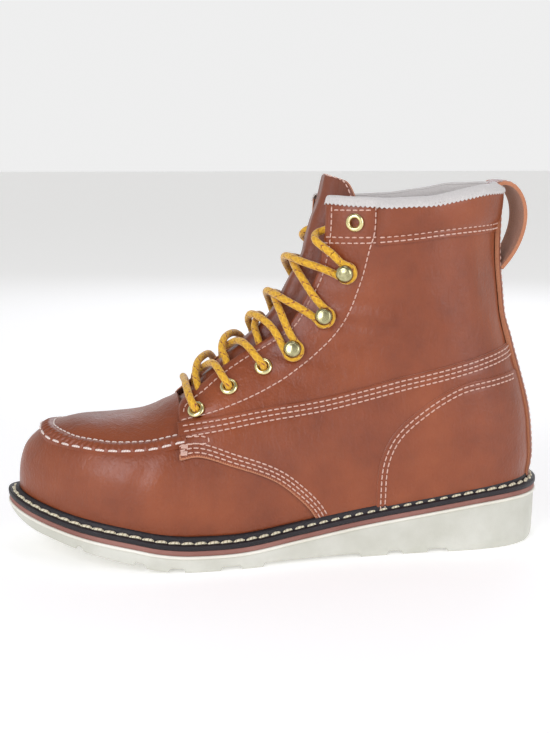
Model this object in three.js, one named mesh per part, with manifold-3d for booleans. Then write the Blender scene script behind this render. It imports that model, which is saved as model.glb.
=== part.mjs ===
// Left work boot, six inches tall, with a moc toe and a wedge sole.
// Millimetres. X runs from the toe (minus) to the heel (plus), Y from the outer side (minus) to the
// inner side (plus), Z is up. The origin is on the floor, midway along the sole.
import * as THREE from 'three';
import { mergeVertices } from 'three/addons/utils/BufferGeometryUtils.js';
import Module from 'manifold-3d';

const wasm = await Module();
wasm.setup();
const { smoothstep, clamp, lerp } = THREE.MathUtils;

// Driving dimensions
const soleLength = 308;
const ballWidth = 110;
const heelHeight = 29;
const toeSpring = 21;
const instepHeight = 89;
const collarHeight = 200;
const clearance = 0.3;

// Sole layers
const lugDepth = 2;
const lugSlope = 1.2;
const outsoleLip = 1.6;
const outsoleLipReach = 0.8;
const midsoleThickness = 2.7;
const midsoleInset = 0.6;
const weltThickness = 2.7;
const weltWidth = 20;
const stormLipHeight = 3.2;
const stormLipThickness = 2.2;
const insoleThickness = 3;

// Leathers
const upperWall = 2;
const panelThickness = 1.3;
const counterThickness = 1.9;
const collarPadding = 2.8;
const mocRidge = 1.6;
const tongueThickness = 2.6;
const tongueSink = 6.4;
const backstayWidth = 26;
const loopThickness = 2.6;

// Hardware and laces
const laceDiameter = 4.2;
const eyeletFlange = 10;
const eyeletBore = 5.2;
const eyeletBarrel = 6;
const eyeletBead = 1.1;
const hookBase = 9.2;
const hookNeck = 4.2;
const hookBall = 9.8;
const hookHeight = 9.4;
const washer = 0.8;

// Smooth reading of a table of rows: every other column, at any value of the key column
function reader(rows, key) {
  const columns = Object.keys(rows[0]).filter((name) => name !== key);
  const places = rows.map((row) => row[key]);
  const values = rows.flatMap((row) => columns.map((name) => row[name]));
  const cubic = new THREE.CubicInterpolant(places, values, columns.length);
  return (place) => {
    const found = cubic.evaluate(clamp(place, places[0], places.at(-1)));
    return Object.fromEntries(columns.map((name, i) => [name, found[i]]));
  };
}

// A share of the sole's length, from the heel, as an X
const alongSole = (share) => soleLength * (0.5 - share);
const shareAt = (x) => 0.5 - x / soleLength;

// Outline of the sole, in shares: at along the length from the heel, centre and half of the ball width
const outlineRows = [
  { at: 0.0, centre: 0.0, half: 0.0 },
  { at: 0.032, centre: 0.0, half: 0.236 },
  { at: 0.081, centre: -0.002, half: 0.327 },
  { at: 0.162, centre: -0.007, half: 0.366 },
  { at: 0.26, centre: -0.02, half: 0.361 },
  { at: 0.39, centre: -0.045, half: 0.364 },
  { at: 0.487, centre: -0.057, half: 0.393 },
  { at: 0.584, centre: -0.052, half: 0.452 },
  { at: 0.666, centre: -0.034, half: 0.489 },
  { at: 0.747, centre: -0.016, half: 0.493 },
  { at: 0.828, centre: 0.009, half: 0.4545 },
  { at: 0.909, centre: 0.036, half: 0.3545 },
  { at: 0.9675, centre: 0.05, half: 0.215 },
  { at: 1.0, centre: 0.055, half: 0.0 },
];

// The rows are read by the angle of a half turn, so that both ends of the outline come out round
const turnAt = (share) => Math.acos(1 - 2 * clamp(share, 0, 1));
const outlineReader = reader(
  outlineRows.map(({ at, ...row }) => ({ turn: turnAt(at), ...row })),
  'turn',
);

function soleOutline(share) {
  const row = outlineReader(turnAt(share));
  return { centre: row.centre * ballWidth, half: row.half * ballWidth };
}

// Side of the outsole, in shares: thick of the heel height, bottom of the toe spring
const sideRows = [
  { at: 0.0, thick: 0.841, bottom: 0.22 },
  { at: 0.02, thick: 0.981, bottom: 0.04 },
  { at: 0.05, thick: 1.012, bottom: 0.0 },
  { at: 0.14, thick: 0.958, bottom: 0.0 },
  { at: 0.253, thick: 0.793, bottom: 0.0 },
  { at: 0.364, thick: 0.641, bottom: 0.0 },
  { at: 0.47, thick: 0.479, bottom: 0.0 },
  { at: 0.578, thick: 0.34, bottom: 0.0 },
  { at: 0.675, thick: 0.331, bottom: 0.0 },
  { at: 0.73, thick: 0.342, bottom: 0.06 },
  { at: 0.773, thick: 0.334, bottom: 0.19 },
  { at: 0.873, thick: 0.279, bottom: 0.5 },
  { at: 0.92, thick: 0.26, bottom: 0.68 },
  { at: 0.961, thick: 0.254, bottom: 0.84 },
  { at: 1.0, thick: 0.189, bottom: 1.12 },
];
const sideReader = reader(sideRows, 'at');
const outsoleBottom = (x) => Math.max(0, toeSpring * sideReader(shareAt(x)).bottom);
const outsoleTop = (x) => outsoleBottom(x) + heelHeight * sideReader(shareAt(x)).thick;
const midsoleBottom = (x) => outsoleTop(x) + clearance;
const midsoleTop = (x) => midsoleBottom(x) + midsoleThickness;
const weltBottom = (x) => midsoleTop(x) + clearance;
const weltTop = (x) => weltBottom(x) + weltThickness;
const lipTop = (x) => weltTop(x) + stormLipHeight;
const rim = (x) => weltTop(x) + clearance;

// Heights of the upper are shares of the collar height. The instep lies at instepShare, and the shares
// below and above it stretch with the two heights.
const instepShare = 0.445;
const heightOf = (share) =>
  share < instepShare
    ? (instepHeight * share) / instepShare
    : lerp(instepHeight, collarHeight, (share - instepShare) / (1 - instepShare));
const heightShare = (z) =>
  z < instepHeight
    ? (instepShare * z) / instepHeight
    : lerp(instepShare, 1, (z - instepHeight) / (collarHeight - instepHeight));

// Back of the upper, in shares: height, at along the sole
const backRows = [
  { height: 0.1, at: 0.024 },
  { height: 0.2, at: 0.0245 },
  { height: 0.235, at: 0.0215 },
  { height: 0.296, at: 0.023 },
  { height: 0.388, at: 0.031 },
  { height: 0.479, at: 0.0474 },
  { height: 0.569, at: 0.0656 },
  { height: 0.658, at: 0.0812 },
  { height: 0.746, at: 0.0893 },
  { height: 0.833, at: 0.0951 },
  { height: 0.905, at: 0.0942 },
  { height: 1.0, at: 0.0925 },
  { height: 1.08, at: 0.091 },
];
const backReader = reader(backRows, 'height');
const backline = (z) => alongSole(backReader(heightShare(z)).at);

// Sections of the upper, from the toe over the instep and round the heel to the collar. Each lies in a
// plane square to the boot's middle plane, from a foot point to a ridge point. In shares: foot and ridge
// along the sole, low and high in height, crown where the rounding of the ridge starts,
// power how square it is, flare of the width there against the foot.
const sectionRows = [
  { foot: 0.9786, low: 0.13, ridge: 0.9786, high: 0.215, crown: 0.35, power: 2.1, flare: 1.0 },
  { foot: 0.9753, low: 0.125, ridge: 0.9747, high: 0.257, crown: 0.35, power: 2.1, flare: 1.0 },
  { foot: 0.966, low: 0.115, ridge: 0.9643, high: 0.3, crown: 0.36, power: 2.1, flare: 1.01 },
  { foot: 0.945, low: 0.1, ridge: 0.9416, high: 0.336, crown: 0.38, power: 2.2, flare: 1.02 },
  { foot: 0.912, low: 0.075, ridge: 0.909, high: 0.362, crown: 0.42, power: 2.3, flare: 1.03 },
  { foot: 0.867, low: 0.055, ridge: 0.864, high: 0.377, crown: 0.45, power: 2.4, flare: 1.04 },
  { foot: 0.805, low: 0.035, ridge: 0.805, high: 0.382, crown: 0.45, power: 2.4, flare: 1.05 },
  { foot: 0.74, low: 0.03, ridge: 0.747, high: 0.394, crown: 0.43, power: 2.3, flare: 1.05 },
  { foot: 0.669, low: 0.033, ridge: 0.701, high: 0.4275, crown: 0.4, power: 2.15, flare: 1.04 },
  { foot: 0.61, low: 0.033, ridge: 0.669, high: 0.4625, crown: 0.37, power: 2.05, flare: 1.03 },
  { foot: 0.545, low: 0.038, ridge: 0.636, high: 0.5175, crown: 0.35, power: 2.0, flare: 1.02 },
  { foot: 0.474, low: 0.053, ridge: 0.603, high: 0.561, crown: 0.35, power: 1.95, flare: 1.02 },
  { foot: 0.39, low: 0.073, ridge: 0.556, high: 0.6225, crown: 0.37, power: 1.95, flare: 1.03 },
  { foot: 0.299, low: 0.093, ridge: 0.529, high: 0.6675, crown: 0.4, power: 2.0, flare: 1.05 },
  { foot: 0.201, low: 0.113, ridge: 0.511, high: 0.705, crown: 0.43, power: 2.05, flare: 1.05 },
  { foot: 0.104, low: 0.125, ridge: 0.497, high: 0.7425, crown: 0.45, power: 2.1, flare: 1.05 },
  { foot: 0.015, low: 0.145, ridge: 0.484, high: 0.7825, crown: 0.47, power: 2.1, flare: 1.05 },
  { foot: -0.02, low: 0.25, ridge: 0.473, high: 0.815, crown: 0.48, power: 2.15, flare: 1.06 },
  { foot: -0.02, low: 0.37, ridge: 0.465, high: 0.843, crown: 0.48, power: 2.15, flare: 1.07 },
  { foot: -0.02, low: 0.51, ridge: 0.458, high: 0.88, crown: 0.48, power: 2.2, flare: 1.08 },
  { foot: -0.02, low: 0.66, ridge: 0.4525, high: 0.91, crown: 0.48, power: 2.25, flare: 1.1 },
  { foot: -0.02, low: 0.8, ridge: 0.4475, high: 0.9405, crown: 0.48, power: 2.3, flare: 1.13 },
  { foot: -0.02, low: 0.925, ridge: 0.4396, high: 0.9775, crown: 0.48, power: 2.35, flare: 1.15 },
  { foot: -0.02, low: 1.01, ridge: 0.4325, high: 1.0105, crown: 0.48, power: 2.4, flare: 1.16 },
  { foot: -0.02, low: 1.07, ridge: 0.4221, high: 1.075, crown: 0.48, power: 2.4, flare: 1.16 },
];
const sectionReader = reader(
  sectionRows.map((row, i) => ({ turn: i, ...row })),
  'turn',
);
const lastTurn = sectionRows.length - 1;

// The foot of the upper stays this share inside the sole's outline
const footShare = 0.865;
const upperToe = alongSole(0.979);
const upperHeel = backline(0);
const setbackStart = -0.2 * soleLength;
const setbackEnd = 0.06 * soleLength;
const centreFadeLow = heightOf(0.3);
const centreFadeHigh = heightOf(0.6);

function upperPlan(x, z) {
  const setback = (upperHeel - backline(z)) * smoothstep(x, setbackStart, setbackEnd);
  const share = (upperHeel - x - setback) / (upperHeel - upperToe);
  const { centre, half } = soleOutline(share);
  const fade = 1 - smoothstep(z, centreFadeLow, centreFadeHigh);
  return { centre: centre * fade, half: half * footShare };
}

// Side view of one section: its foot and its ridge, as (x, z)
function sectionEnds(turn) {
  const row = sectionReader(turn);
  const footZ = heightOf(row.low);
  const footX = Math.min(alongSole(row.foot), backline(footZ));
  const ridge = new THREE.Vector2(alongSole(row.ridge), heightOf(row.high));
  return { row, foot: new THREE.Vector2(footX, footZ), ridge };
}

// A point of the upper's outer face. around is -1 at the outer foot, 0 on the ridge, 1 at the inner foot.
function skin(turn, around) {
  const { row, foot, ridge } = sectionEnds(turn);
  const share = 0.5 - 0.5 * Math.cos(Math.PI * (1 - Math.abs(around)));
  const side = foot.clone().lerp(ridge, share);
  const plan = upperPlan(side.x, side.y);
  const flare = lerp(1, row.flare, smoothstep(share, 0, row.crown));
  const over = Math.max(0, (share - row.crown) / (1 - row.crown));
  const crown = Math.max(0, 1 - over ** row.power) ** (1 / row.power);
  const y = plan.centre + Math.sign(around) * plan.half * flare * crown;
  return new THREE.Vector3(side.x, y, side.y);
}

function skinNormal(turn, around) {
  const turnStep = 0.05;
  const aroundStep = 0.01;
  const low = Math.max(0, turn - turnStep);
  const high = Math.min(lastTurn, turn + turnStep);
  const alongTurn = skin(high, around).sub(skin(low, around));
  const alongSection = skin(turn, around + aroundStep).sub(skin(turn, around - aroundStep));
  return alongSection.cross(alongTurn).normalize().negate();
}

// Meshes and solids
function closedMesh(positions, triangles) {
  const geometry = new THREE.BufferGeometry();
  geometry.setAttribute('position', new THREE.Float32BufferAttribute(positions, 3));
  geometry.setIndex(triangles);
  return geometry;
}

function mergedMesh(geometry) {
  const bare = geometry.clone();
  bare.deleteAttribute('normal');
  bare.deleteAttribute('uv');
  const merged = mergeVertices(bare, 1e-3);
  const kept = [];
  const index = merged.index.array;
  for (let i = 0; i < index.length; i += 3) {
    const [a, b, c] = [index[i], index[i + 1], index[i + 2]];
    if (a !== b && b !== c && c !== a) kept.push(a, b, c);
  }
  merged.setIndex(kept);
  return merged;
}

function solid(geometry) {
  const merged = mergedMesh(geometry);
  const vertProperties = merged.attributes.position.array;
  const triVerts = Uint32Array.from(merged.index.array);
  return new wasm.Manifold(new wasm.Mesh({ numProp: 3, vertProperties, triVerts }));
}

function geometryOf(body) {
  const { vertProperties, triVerts } = body.getMesh();
  const geometry = closedMesh(vertProperties, Array.from(triVerts));
  geometry.computeVertexNormals();
  return geometry;
}

// The upper's form, every face moved out by grow
const ringCount = 23;
const sideCount = 8;

function formMesh() {
  const positions = [];
  const triangles = [];
  const ringSize = 2 * sideCount + 1;
  for (let ring = 0; ring < ringCount; ring++) {
    const turn = (lastTurn * ring) / (ringCount - 1);
    for (let k = -sideCount; k <= sideCount; k++) positions.push(...skin(turn, k / sideCount).toArray());
  }
  for (let ring = 0; ring < ringCount - 1; ring++) {
    for (let k = 0; k < ringSize; k++) {
      const next = (k + 1) % ringSize;
      const [a, b] = [ring * ringSize + k, ring * ringSize + next];
      triangles.push(a, a + ringSize, b, b, a + ringSize, b + ringSize);
    }
  }
  const capRing = (ring, flip) => {
    const first = ring * ringSize;
    for (let k = 0; k < sideCount; k++) {
      const [a, b] = [first + k, first + k + 1];
      const [c, d] = [first + ringSize - 1 - k, first + ringSize - 2 - k];
      const faces = flip ? [a, b, d, a, d, c] : [a, d, b, a, c, d];
      triangles.push(...faces);
    }
  };
  capRing(0, true);
  capRing(ringCount - 1, false);
  const merged = mergedMesh(closedMesh(positions, triangles));
  merged.computeVertexNormals();
  return merged;
}
const baseForm = formMesh();

function formGeometry(grow) {
  const grown = baseForm.clone();
  const place = grown.attributes.position;
  const normal = grown.attributes.normal;
  for (let i = 0; i < place.count; i++) {
    const point = new THREE.Vector3().fromBufferAttribute(place, i);
    point.addScaledVector(new THREE.Vector3().fromBufferAttribute(normal, i), grow);
    place.setXYZ(i, point.x, point.y, point.z);
  }
  return grown;
}
const form = (grow) => solid(formGeometry(grow));
const shell = (outer, inner) => form(outer).subtract(form(inner));

// Prisms: a side view carried across the boot, and a plan carried up
const reach = soleLength;
const points2 = (pairs) => pairs.map(([a, b]) => new THREE.Vector2(a, b));

function across(pairs, from = -reach, to = reach) {
  const geometry = new THREE.ExtrudeGeometry(new THREE.Shape(points2(pairs)), {
    depth: to - from,
    bevelEnabled: false,
  });
  geometry.rotateX(Math.PI / 2);
  geometry.translate(0, to, 0);
  return solid(geometry);
}

function upright(points, from = -reach, to = reach) {
  const geometry = new THREE.ExtrudeGeometry(new THREE.Shape(points), {
    depth: to - from,
    bevelEnabled: false,
  });
  geometry.translate(0, 0, from);
  return solid(geometry);
}

// A layer of the sole between two heights that change along it
const layerSteps = 15;

function layer(bottom, top) {
  const xs = [];
  for (let i = 0; i <= layerSteps; i++) xs.push(alongSole(0.5 - 0.5 * Math.cos((Math.PI * i) / layerSteps)));
  xs[0] += 1;
  xs[layerSteps] -= 1;
  const under = xs.map((x) => [x, bottom(x)]);
  const over = xs.map((x) => [x, top(x)]).reverse();
  return across([...under, ...over]);
}

// The sole's outline as a closed plan, moved in by inset
const outlineSteps = 20;

function outlinePlan(inset) {
  const outer = [];
  for (let i = 0; i < 2 * outlineSteps; i++) {
    const turn = (Math.PI * i) / outlineSteps;
    const share = 0.5 - 0.5 * Math.cos(turn);
    const { centre, half } = soleOutline(share);
    const side = turn <= Math.PI ? -1 : 1;
    outer.push(new THREE.Vector2(alongSole(share), centre + side * half));
  }
  return outer.map((point, i) => {
    const before = outer.at(i - 1);
    const after = outer[(i + 1) % outer.length];
    const along = after.clone().sub(before).normalize();
    return point.clone().add(new THREE.Vector2(along.y, -along.x).multiplyScalar(inset));
  });
}

// Outsole: a wedge with a proud lip along its top edge, and low lugs under toe and heel.
// Rows give the grooves between the lugs and the raised waist, in shares of the sole's length.
const grooveRows = [
  { from: 0.2, to: 0.24 },
  { from: 0.285, to: 0.315 },
  { from: 0.364, to: 0.545 },
  { from: 0.583, to: 0.622 },
  { from: 0.685, to: 0.714 },
  { from: 0.753, to: 0.776 },
  { from: 0.863, to: 0.878 },
];

function outsole() {
  const wall = upright(outlinePlan(outsoleLipReach)).intersect(layer(outsoleBottom, outsoleTop));
  const lip = upright(outlinePlan(0)).intersect(layer((x) => outsoleTop(x) - outsoleLip, outsoleTop));
  const grooves = grooveRows.map(({ from, to }) => {
    const [heelward, toeward] = [alongSole(from), alongSole(to)];
    const roof = (x) => [x, outsoleBottom(x) + lugDepth];
    return across([
      [heelward, -reach],
      [heelward, outsoleBottom(heelward)],
      roof(heelward - lugSlope),
      roof(toeward + lugSlope),
      [toeward, outsoleBottom(toeward)],
      [toeward, -reach],
    ]);
  });
  return wall.add(lip).subtract(wasm.Manifold.union(grooves));
}

const midsole = () => upright(outlinePlan(midsoleInset)).intersect(layer(midsoleBottom, midsoleTop));

// Welt: a flat shelf round the boot, and a lip that stands against the upper
function welt() {
  const ring = upright(outlinePlan(0)).subtract(upright(outlinePlan(weltWidth)));
  const shelf = ring.intersect(layer(weltBottom, weltTop));
  const lip = shell(clearance + stormLipThickness, clearance).intersect(layer(weltBottom, lipTop));
  return shelf.add(lip);
}

const insole = () =>
  form(-upperWall - 2 * clearance).intersect(
    layer(rim, (x) => rim(x) + insoleThickness),
  );

// Side views of the upper's edges, in shares: along the sole and in height
const sideView = (rows) => rows.map(({ at, height }) => [alongSole(at), heightOf(height)]);
const smooth = (pairs, steps) => new THREE.SplineCurve(points2(pairs)).getPoints(steps).map((p) => p.toArray());

const throatRows = [
  { at: 0.684, height: 0.402 },
  { at: 0.648, height: 0.465 },
  { at: 0.621, height: 0.509 },
  { at: 0.574, height: 0.558 },
  { at: 0.529, height: 0.5995 },
  { at: 0.484, height: 0.6495 },
  { at: 0.456, height: 0.72 },
  { at: 0.437, height: 0.778 },
  { at: 0.4255, height: 0.855 },
  { at: 0.42, height: 0.9725 },
  { at: 0.419, height: 1.1 },
];
const throatEdge = sideView(throatRows);
const throatFoot = throatEdge[0][0] - 1.5;

const collarRows = [
  { at: 0.42, height: 0.98 },
  { at: 0.337, height: 0.975 },
  { at: 0.265, height: 0.977 },
  { at: 0.214, height: 0.988 },
  { at: 0.159, height: 1.003 },
  { at: 0.09, height: 1.012 },
  { at: 0.05, height: 1.012 },
];
const collarEdge = sideView(collarRows);

const frontOfThroat = () =>
  across([...smooth(throatEdge, 11), [throatFoot, 1.5 * collarHeight], [throatFoot, throatEdge[0][1]]]);
const aboveCollar = (drop) =>
  across([
    [-reach, collarEdge[0][1] - drop],
    ...collarEdge.map(([x, z]) => [x, z - drop]),
    [reach, collarEdge.at(-1)[1] - drop],
    [reach, 2 * collarHeight],
    [-reach, 2 * collarHeight],
  ]);
const belowRim = (lift) => layer(() => -reach, (x) => rim(x) + lift);

const panelOuter = clearance + panelThickness;
const eyeletRows = [
  { at: 0.6555, height: 0.417 },
  { at: 0.598, height: 0.4765 },
  { at: 0.5354, height: 0.5295 },
  { at: 0.3756, height: 0.926 },
];
const hookRows = [
  { at: 0.4817, height: 0.5715 },
  { at: 0.425, height: 0.6635 },
  { at: 0.3854, height: 0.7915 },
];

// Where a side view point lies on the upper: its turn and its place around the section
function spot({ at, height }) {
  const target = new THREE.Vector2(alongSole(at), heightOf(height));
  const signed = (turn) => {
    const { foot, ridge } = sectionEnds(turn);
    return ridge.clone().sub(foot).cross(target.clone().sub(foot));
  };
  let [low, high] = [0, lastTurn];
  for (let i = 0; i < 40; i++) {
    const middle = (low + high) / 2;
    if (signed(middle) > 0 === signed(0) > 0) low = middle;
    else high = middle;
  }
  const { foot, ridge } = sectionEnds(low);
  const chord = ridge.clone().sub(foot);
  const share = target.clone().sub(foot).dot(chord) / chord.lengthSq();
  return { turn: low, around: 1 - Math.acos(1 - 2 * share) / Math.PI };
}

// A place on the upper, lifted off it, with the direction straight out
function seat(turn, around, lift) {
  const out = skinNormal(turn, around);
  return { point: skin(turn, around).addScaledVector(out, lift), out };
}

const sides = [
  { name: 'lateral', sign: -1 },
  { name: 'medial', sign: 1 },
];
const seatOf = (row, side, lift) => {
  const { turn, around } = spot(row);
  return seat(turn, side.sign * around, lift);
};

function placed(geometry, { point, out }) {
  const turned = new THREE.Quaternion().setFromUnitVectors(new THREE.Vector3(0, 0, 1), out);
  return geometry.applyQuaternion(turned).translate(point.x, point.y, point.z);
}

function eyeletHoles() {
  const drills = sides.flatMap((side) =>
    eyeletRows.map((row) => {
      const bore = new THREE.CylinderGeometry(eyeletBarrel / 2 + clearance, eyeletBarrel / 2 + clearance, 16, 12);
      return solid(placed(bore.rotateX(Math.PI / 2), seatOf(row, side, 0)));
    }),
  );
  return wasm.Manifold.union(drills);
}
const holes = eyeletHoles();

function upper() {
  return shell(0, -upperWall)
    .subtract(belowRim(0))
    .subtract(aboveCollar(0))
    .subtract(frontOfThroat())
    .subtract(holes);
}

// Side views of the panels
const counterEdge = sideView([
  { at: 0.336, height: 0.05 },
  { at: 0.336, height: 0.16 },
  { at: 0.331, height: 0.268 },
  { at: 0.31, height: 0.34 },
  { at: 0.259, height: 0.411 },
  { at: 0.185, height: 0.4775 },
  { at: 0.11, height: 0.496 },
  { at: 0.03, height: 0.506 },
]);
const quarterTop = sideView([
  { at: 0.691, height: 0.3865 },
  { at: 0.566, height: 0.4225 },
  { at: 0.429, height: 0.4535 },
  { at: 0.255, height: 0.515 },
  { at: 0.0974, height: 0.569 },
  { at: 0.03, height: 0.588 },
]);
const wingEdge = sideView([
  { at: 0.691, height: 0.3 },
  { at: 0.66, height: 0.2985 },
  { at: 0.604, height: 0.2835 },
  { at: 0.524, height: 0.2335 },
  { at: 0.478, height: 0.1745 },
  { at: 0.455, height: 0.134 },
  { at: 0.435, height: 0.08 },
]);
const facingEdge = sideView([
  { at: 0.3425, height: 1.0 },
  { at: 0.344, height: 0.9 },
  { at: 0.352, height: 0.85 },
  { at: 0.36, height: 0.79 },
  { at: 0.372, height: 0.7275 },
  { at: 0.391, height: 0.6575 },
  { at: 0.419, height: 0.6025 },
  { at: 0.49, height: 0.5135 },
  { at: 0.539, height: 0.4715 },
  { at: 0.623, height: 0.421 },
  { at: 0.691, height: 0.391 },
]);
const bandFoot = sideView([
  { at: 0.3412, height: 0.864 },
  { at: 0.286, height: 0.872 },
  { at: 0.213, height: 0.885 },
  { at: 0.107, height: 0.894 },
  { at: 0.05, height: 0.896 },
]);

const panelSteps = 8;
const halfSpace = (side, from = 0) =>
  side.sign < 0 ? across(wholeSide, -reach, -from) : across(wholeSide, from, reach);
const wholeSide = [
  [-reach, -reach],
  [reach, -reach],
  [reach, reach],
  [-reach, reach],
];
const aboveLip = () => belowRim(stormLipHeight);
const backstayEdge = backstayWidth / 2 + clearance;

function panel(side, thickness, pairs) {
  return shell(clearance + thickness, clearance)
    .intersect(across(pairs))
    .intersect(halfSpace(side, backstayEdge))
    .subtract(aboveLip())
    .subtract(frontOfThroat())
    .subtract(aboveCollar(clearance))
    .subtract(holes);
}

function counter(side) {
  return panel(side, counterThickness, [...smooth(counterEdge, panelSteps), [reach, counterEdge.at(-1)[1]], [reach, 0]]);
}

function quarter(side) {
  const behind = smooth(counterEdge, panelSteps).map(([x, z]) => [x - clearance, z + clearance]);
  return panel(side, panelThickness, [
    ...smooth(quarterTop, panelSteps).reverse(),
    ...smooth(wingEdge, panelSteps),
    ...behind,
  ]);
}

function eyestay(side) {
  return panel(side, panelThickness, [
    ...smooth(facingEdge, panelSteps),
    [facingEdge.at(-1)[0], 2 * collarHeight],
    [facingEdge[0][0], 2 * collarHeight],
  ]);
}

// The band's own room, grown on every side
function collarZone(grow) {
  const [front] = bandFoot[0];
  const foot = smooth(bandFoot, panelSteps).map(([x, z]) => [x, z - grow]);
  return shell(clearance + collarPadding + grow, clearance - grow)
    .intersect(across([...foot, [reach, 2 * collarHeight], [front - grow, 2 * collarHeight]]))
    .subtract(aboveCollar(clearance - grow));
}
const collarBand = () => collarZone(0);

// Backstay up the heel, and the pull loop that it goes into, as one ribbon over the collar
const loopRows = [
  { at: 0.0845, height: 0.765 },
  { at: 0.071, height: 0.805 },
  { at: 0.055, height: 0.865 },
  { at: 0.0455, height: 0.93 },
  { at: 0.052, height: 0.985 },
  { at: 0.07, height: 1.02 },
  { at: 0.092, height: 1.027 },
  { at: 0.1095, height: 1.003 },
  { at: 0.1125, height: 0.945 },
];

function ribbon(pairs, thickness, steps) {
  const curve = new THREE.SplineCurve(points2(pairs));
  const [outer, inner] = [[], []];
  for (let i = 0; i <= steps; i++) {
    const point = curve.getPoint(i / steps);
    const along = curve.getTangent(i / steps);
    const out = new THREE.Vector2(along.y, -along.x).multiplyScalar(thickness / 2);
    outer.push(point.clone().add(out).toArray());
    inner.push(point.clone().sub(out).toArray());
  }
  return [...outer, ...inner.reverse()];
}

function backstay() {
  const top = heightOf(loopRows[0].height);
  const middle = alongSole(0.2);
  const strip = shell(clearance + counterThickness, clearance)
    .intersect(
      across(
        [
          [middle, 0],
          [reach, 0],
          [reach, top],
          [middle, top],
        ],
        -backstayWidth / 2,
        backstayWidth / 2,
      ),
    )
    .subtract(aboveLip());
  const wall = shell(clearance, -upperWall - clearance).subtract(aboveCollar(-clearance));
  const loop = across(ribbon(sideView(loopRows), loopThickness, 12), -backstayWidth / 2, backstayWidth / 2);
  return strip.add(loop.subtract(wall).subtract(collarZone(clearance)));
}

// A raised strip on the upper's outer face, between two routes of turn and place around the section.
// Its edges stand low and its middle stands high.
function strip(routes, low, high) {
  const over = [0, 0.5, 1, 0.5, 0].map((share) => lerp(low + 0.4 * (high - low), high, share));
  const last = over.length - 1;
  const count = 2 * over.length;
  const positions = [];
  const triangles = [];
  for (const { edge, inner } of routes) {
    const point = (i, lift) => {
      const share = i / last;
      const turn = lerp(edge.turn, inner.turn, share);
      positions.push(...seat(turn, lerp(edge.around, inner.around, share), lift).point.toArray());
    };
    over.forEach((lift, i) => point(i, lift));
    over.forEach((_, i) => point(last - i, low));
  }
  const end = (routes.length - 1) * count;
  for (let first = 0; first < end; first += count) {
    for (let k = 0; k < count; k++) {
      const [a, b] = [first + k, first + ((k + 1) % count)];
      triangles.push(a, b, a + count, b, b + count, a + count);
    }
  }
  for (let k = 0; k < last; k++) {
    const [a, b, c, d] = [k, k + 1, count - 1 - k, count - 2 - k];
    triangles.push(a, d, b, a, c, d, end + a, end + b, end + d, end + a, end + d, end + c);
  }
  return closedMesh(positions, triangles);
}

// Moc seam: a raised band round the toe plug. Rows give its outer edge, from the outer side round the
// toe to the inner side, and width is how far the inner edge lies towards the plug's middle.
const mocRows = [
  { turn: 8.0, around: -0.32, widthTurn: 0.0, widthAround: 0.045 },
  { turn: 7.0, around: -0.3, widthTurn: 0.0, widthAround: 0.055 },
  { turn: 6.05, around: -0.292, widthTurn: 0.0, widthAround: 0.06 },
  { turn: 5.34, around: -0.286, widthTurn: 0.25, widthAround: 0.063 },
  { turn: 4.43, around: -0.26, widthTurn: 0.42, widthAround: 0.061 },
  { turn: 3.67, around: -0.2, widthTurn: 0.57, widthAround: 0.065 },
  { turn: 3.3, around: -0.1, widthTurn: 0.63, widthAround: 0.035 },
  { turn: 3.22, around: 0.0, widthTurn: 0.66, widthAround: 0.0 },
  { turn: 3.3, around: 0.1, widthTurn: 0.63, widthAround: -0.035 },
  { turn: 3.67, around: 0.2, widthTurn: 0.57, widthAround: -0.065 },
  { turn: 4.43, around: 0.26, widthTurn: 0.42, widthAround: -0.061 },
  { turn: 5.34, around: 0.286, widthTurn: 0.25, widthAround: -0.063 },
  { turn: 6.05, around: 0.292, widthTurn: 0.0, widthAround: -0.06 },
  { turn: 7.0, around: 0.3, widthTurn: 0.0, widthAround: -0.055 },
  { turn: 8.0, around: 0.32, widthTurn: 0.0, widthAround: -0.045 },
];
const mocSteps = 26;

function mocSeam() {
  const read = reader(
    mocRows.map((row, i) => ({ place: i, ...row })),
    'place',
  );
  const routes = [];
  for (let i = 0; i <= mocSteps; i++) {
    const { turn, around, widthTurn, widthAround } = read((i * (mocRows.length - 1)) / mocSteps);
    routes.push({ edge: { turn, around }, inner: { turn: turn + widthTurn, around: around + widthAround } });
  }
  return strip(routes, 2 * clearance, 2 * clearance + mocRidge);
}

// Tongue: a sheet inside the throat. Towards the top its sides lie deeper, behind the facings.
const tongueSinkFrom = 4;
const tongueSinkTo = 16;
const tongueSinkLow = heightOf(0.62);
const tongueSinkHigh = heightOf(0.8);

function tongueForm(grow) {
  const sheet = formGeometry(grow);
  const { position, normal } = sheet.attributes;
  for (let i = 0; i < position.count; i++) {
    const point = new THREE.Vector3().fromBufferAttribute(position, i);
    const beside = smoothstep(Math.abs(point.y), tongueSinkFrom, tongueSinkTo);
    const high = smoothstep(point.z, tongueSinkLow, tongueSinkHigh);
    const inward = new THREE.Vector3().fromBufferAttribute(normal, i).multiplyScalar(-tongueSink * beside * high);
    position.setXYZ(i, ...point.add(inward).toArray());
  }
  return solid(sheet);
}

const tongueEdge = sideView([
  { at: 0.735, height: 0.31 },
  { at: 0.63, height: 0.39 },
  { at: 0.516, height: 0.49 },
  { at: 0.429, height: 0.6 },
  { at: 0.38, height: 0.76 },
  { at: 0.372, height: 0.94 },
  { at: 0.378, height: 1.01 },
  { at: 0.395, height: 1.045 },
  { at: 0.43, height: 1.058 },
]);

function tongue() {
  const outer = -upperWall - clearance;
  const region = across([...smooth(tongueEdge, 9), [tongueEdge[0][0], tongueEdge.at(-1)[1]]]);
  return tongueForm(outer).subtract(tongueForm(outer - tongueThickness)).intersect(region);
}

// Hardware. Its flat undersides stand just clear of the curved facings.
const hardwareLift = panelOuter + 2 * clearance;
const turned = (profile, steps) => new THREE.LatheGeometry(points2(profile), steps).rotateX(Math.PI / 2);

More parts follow.
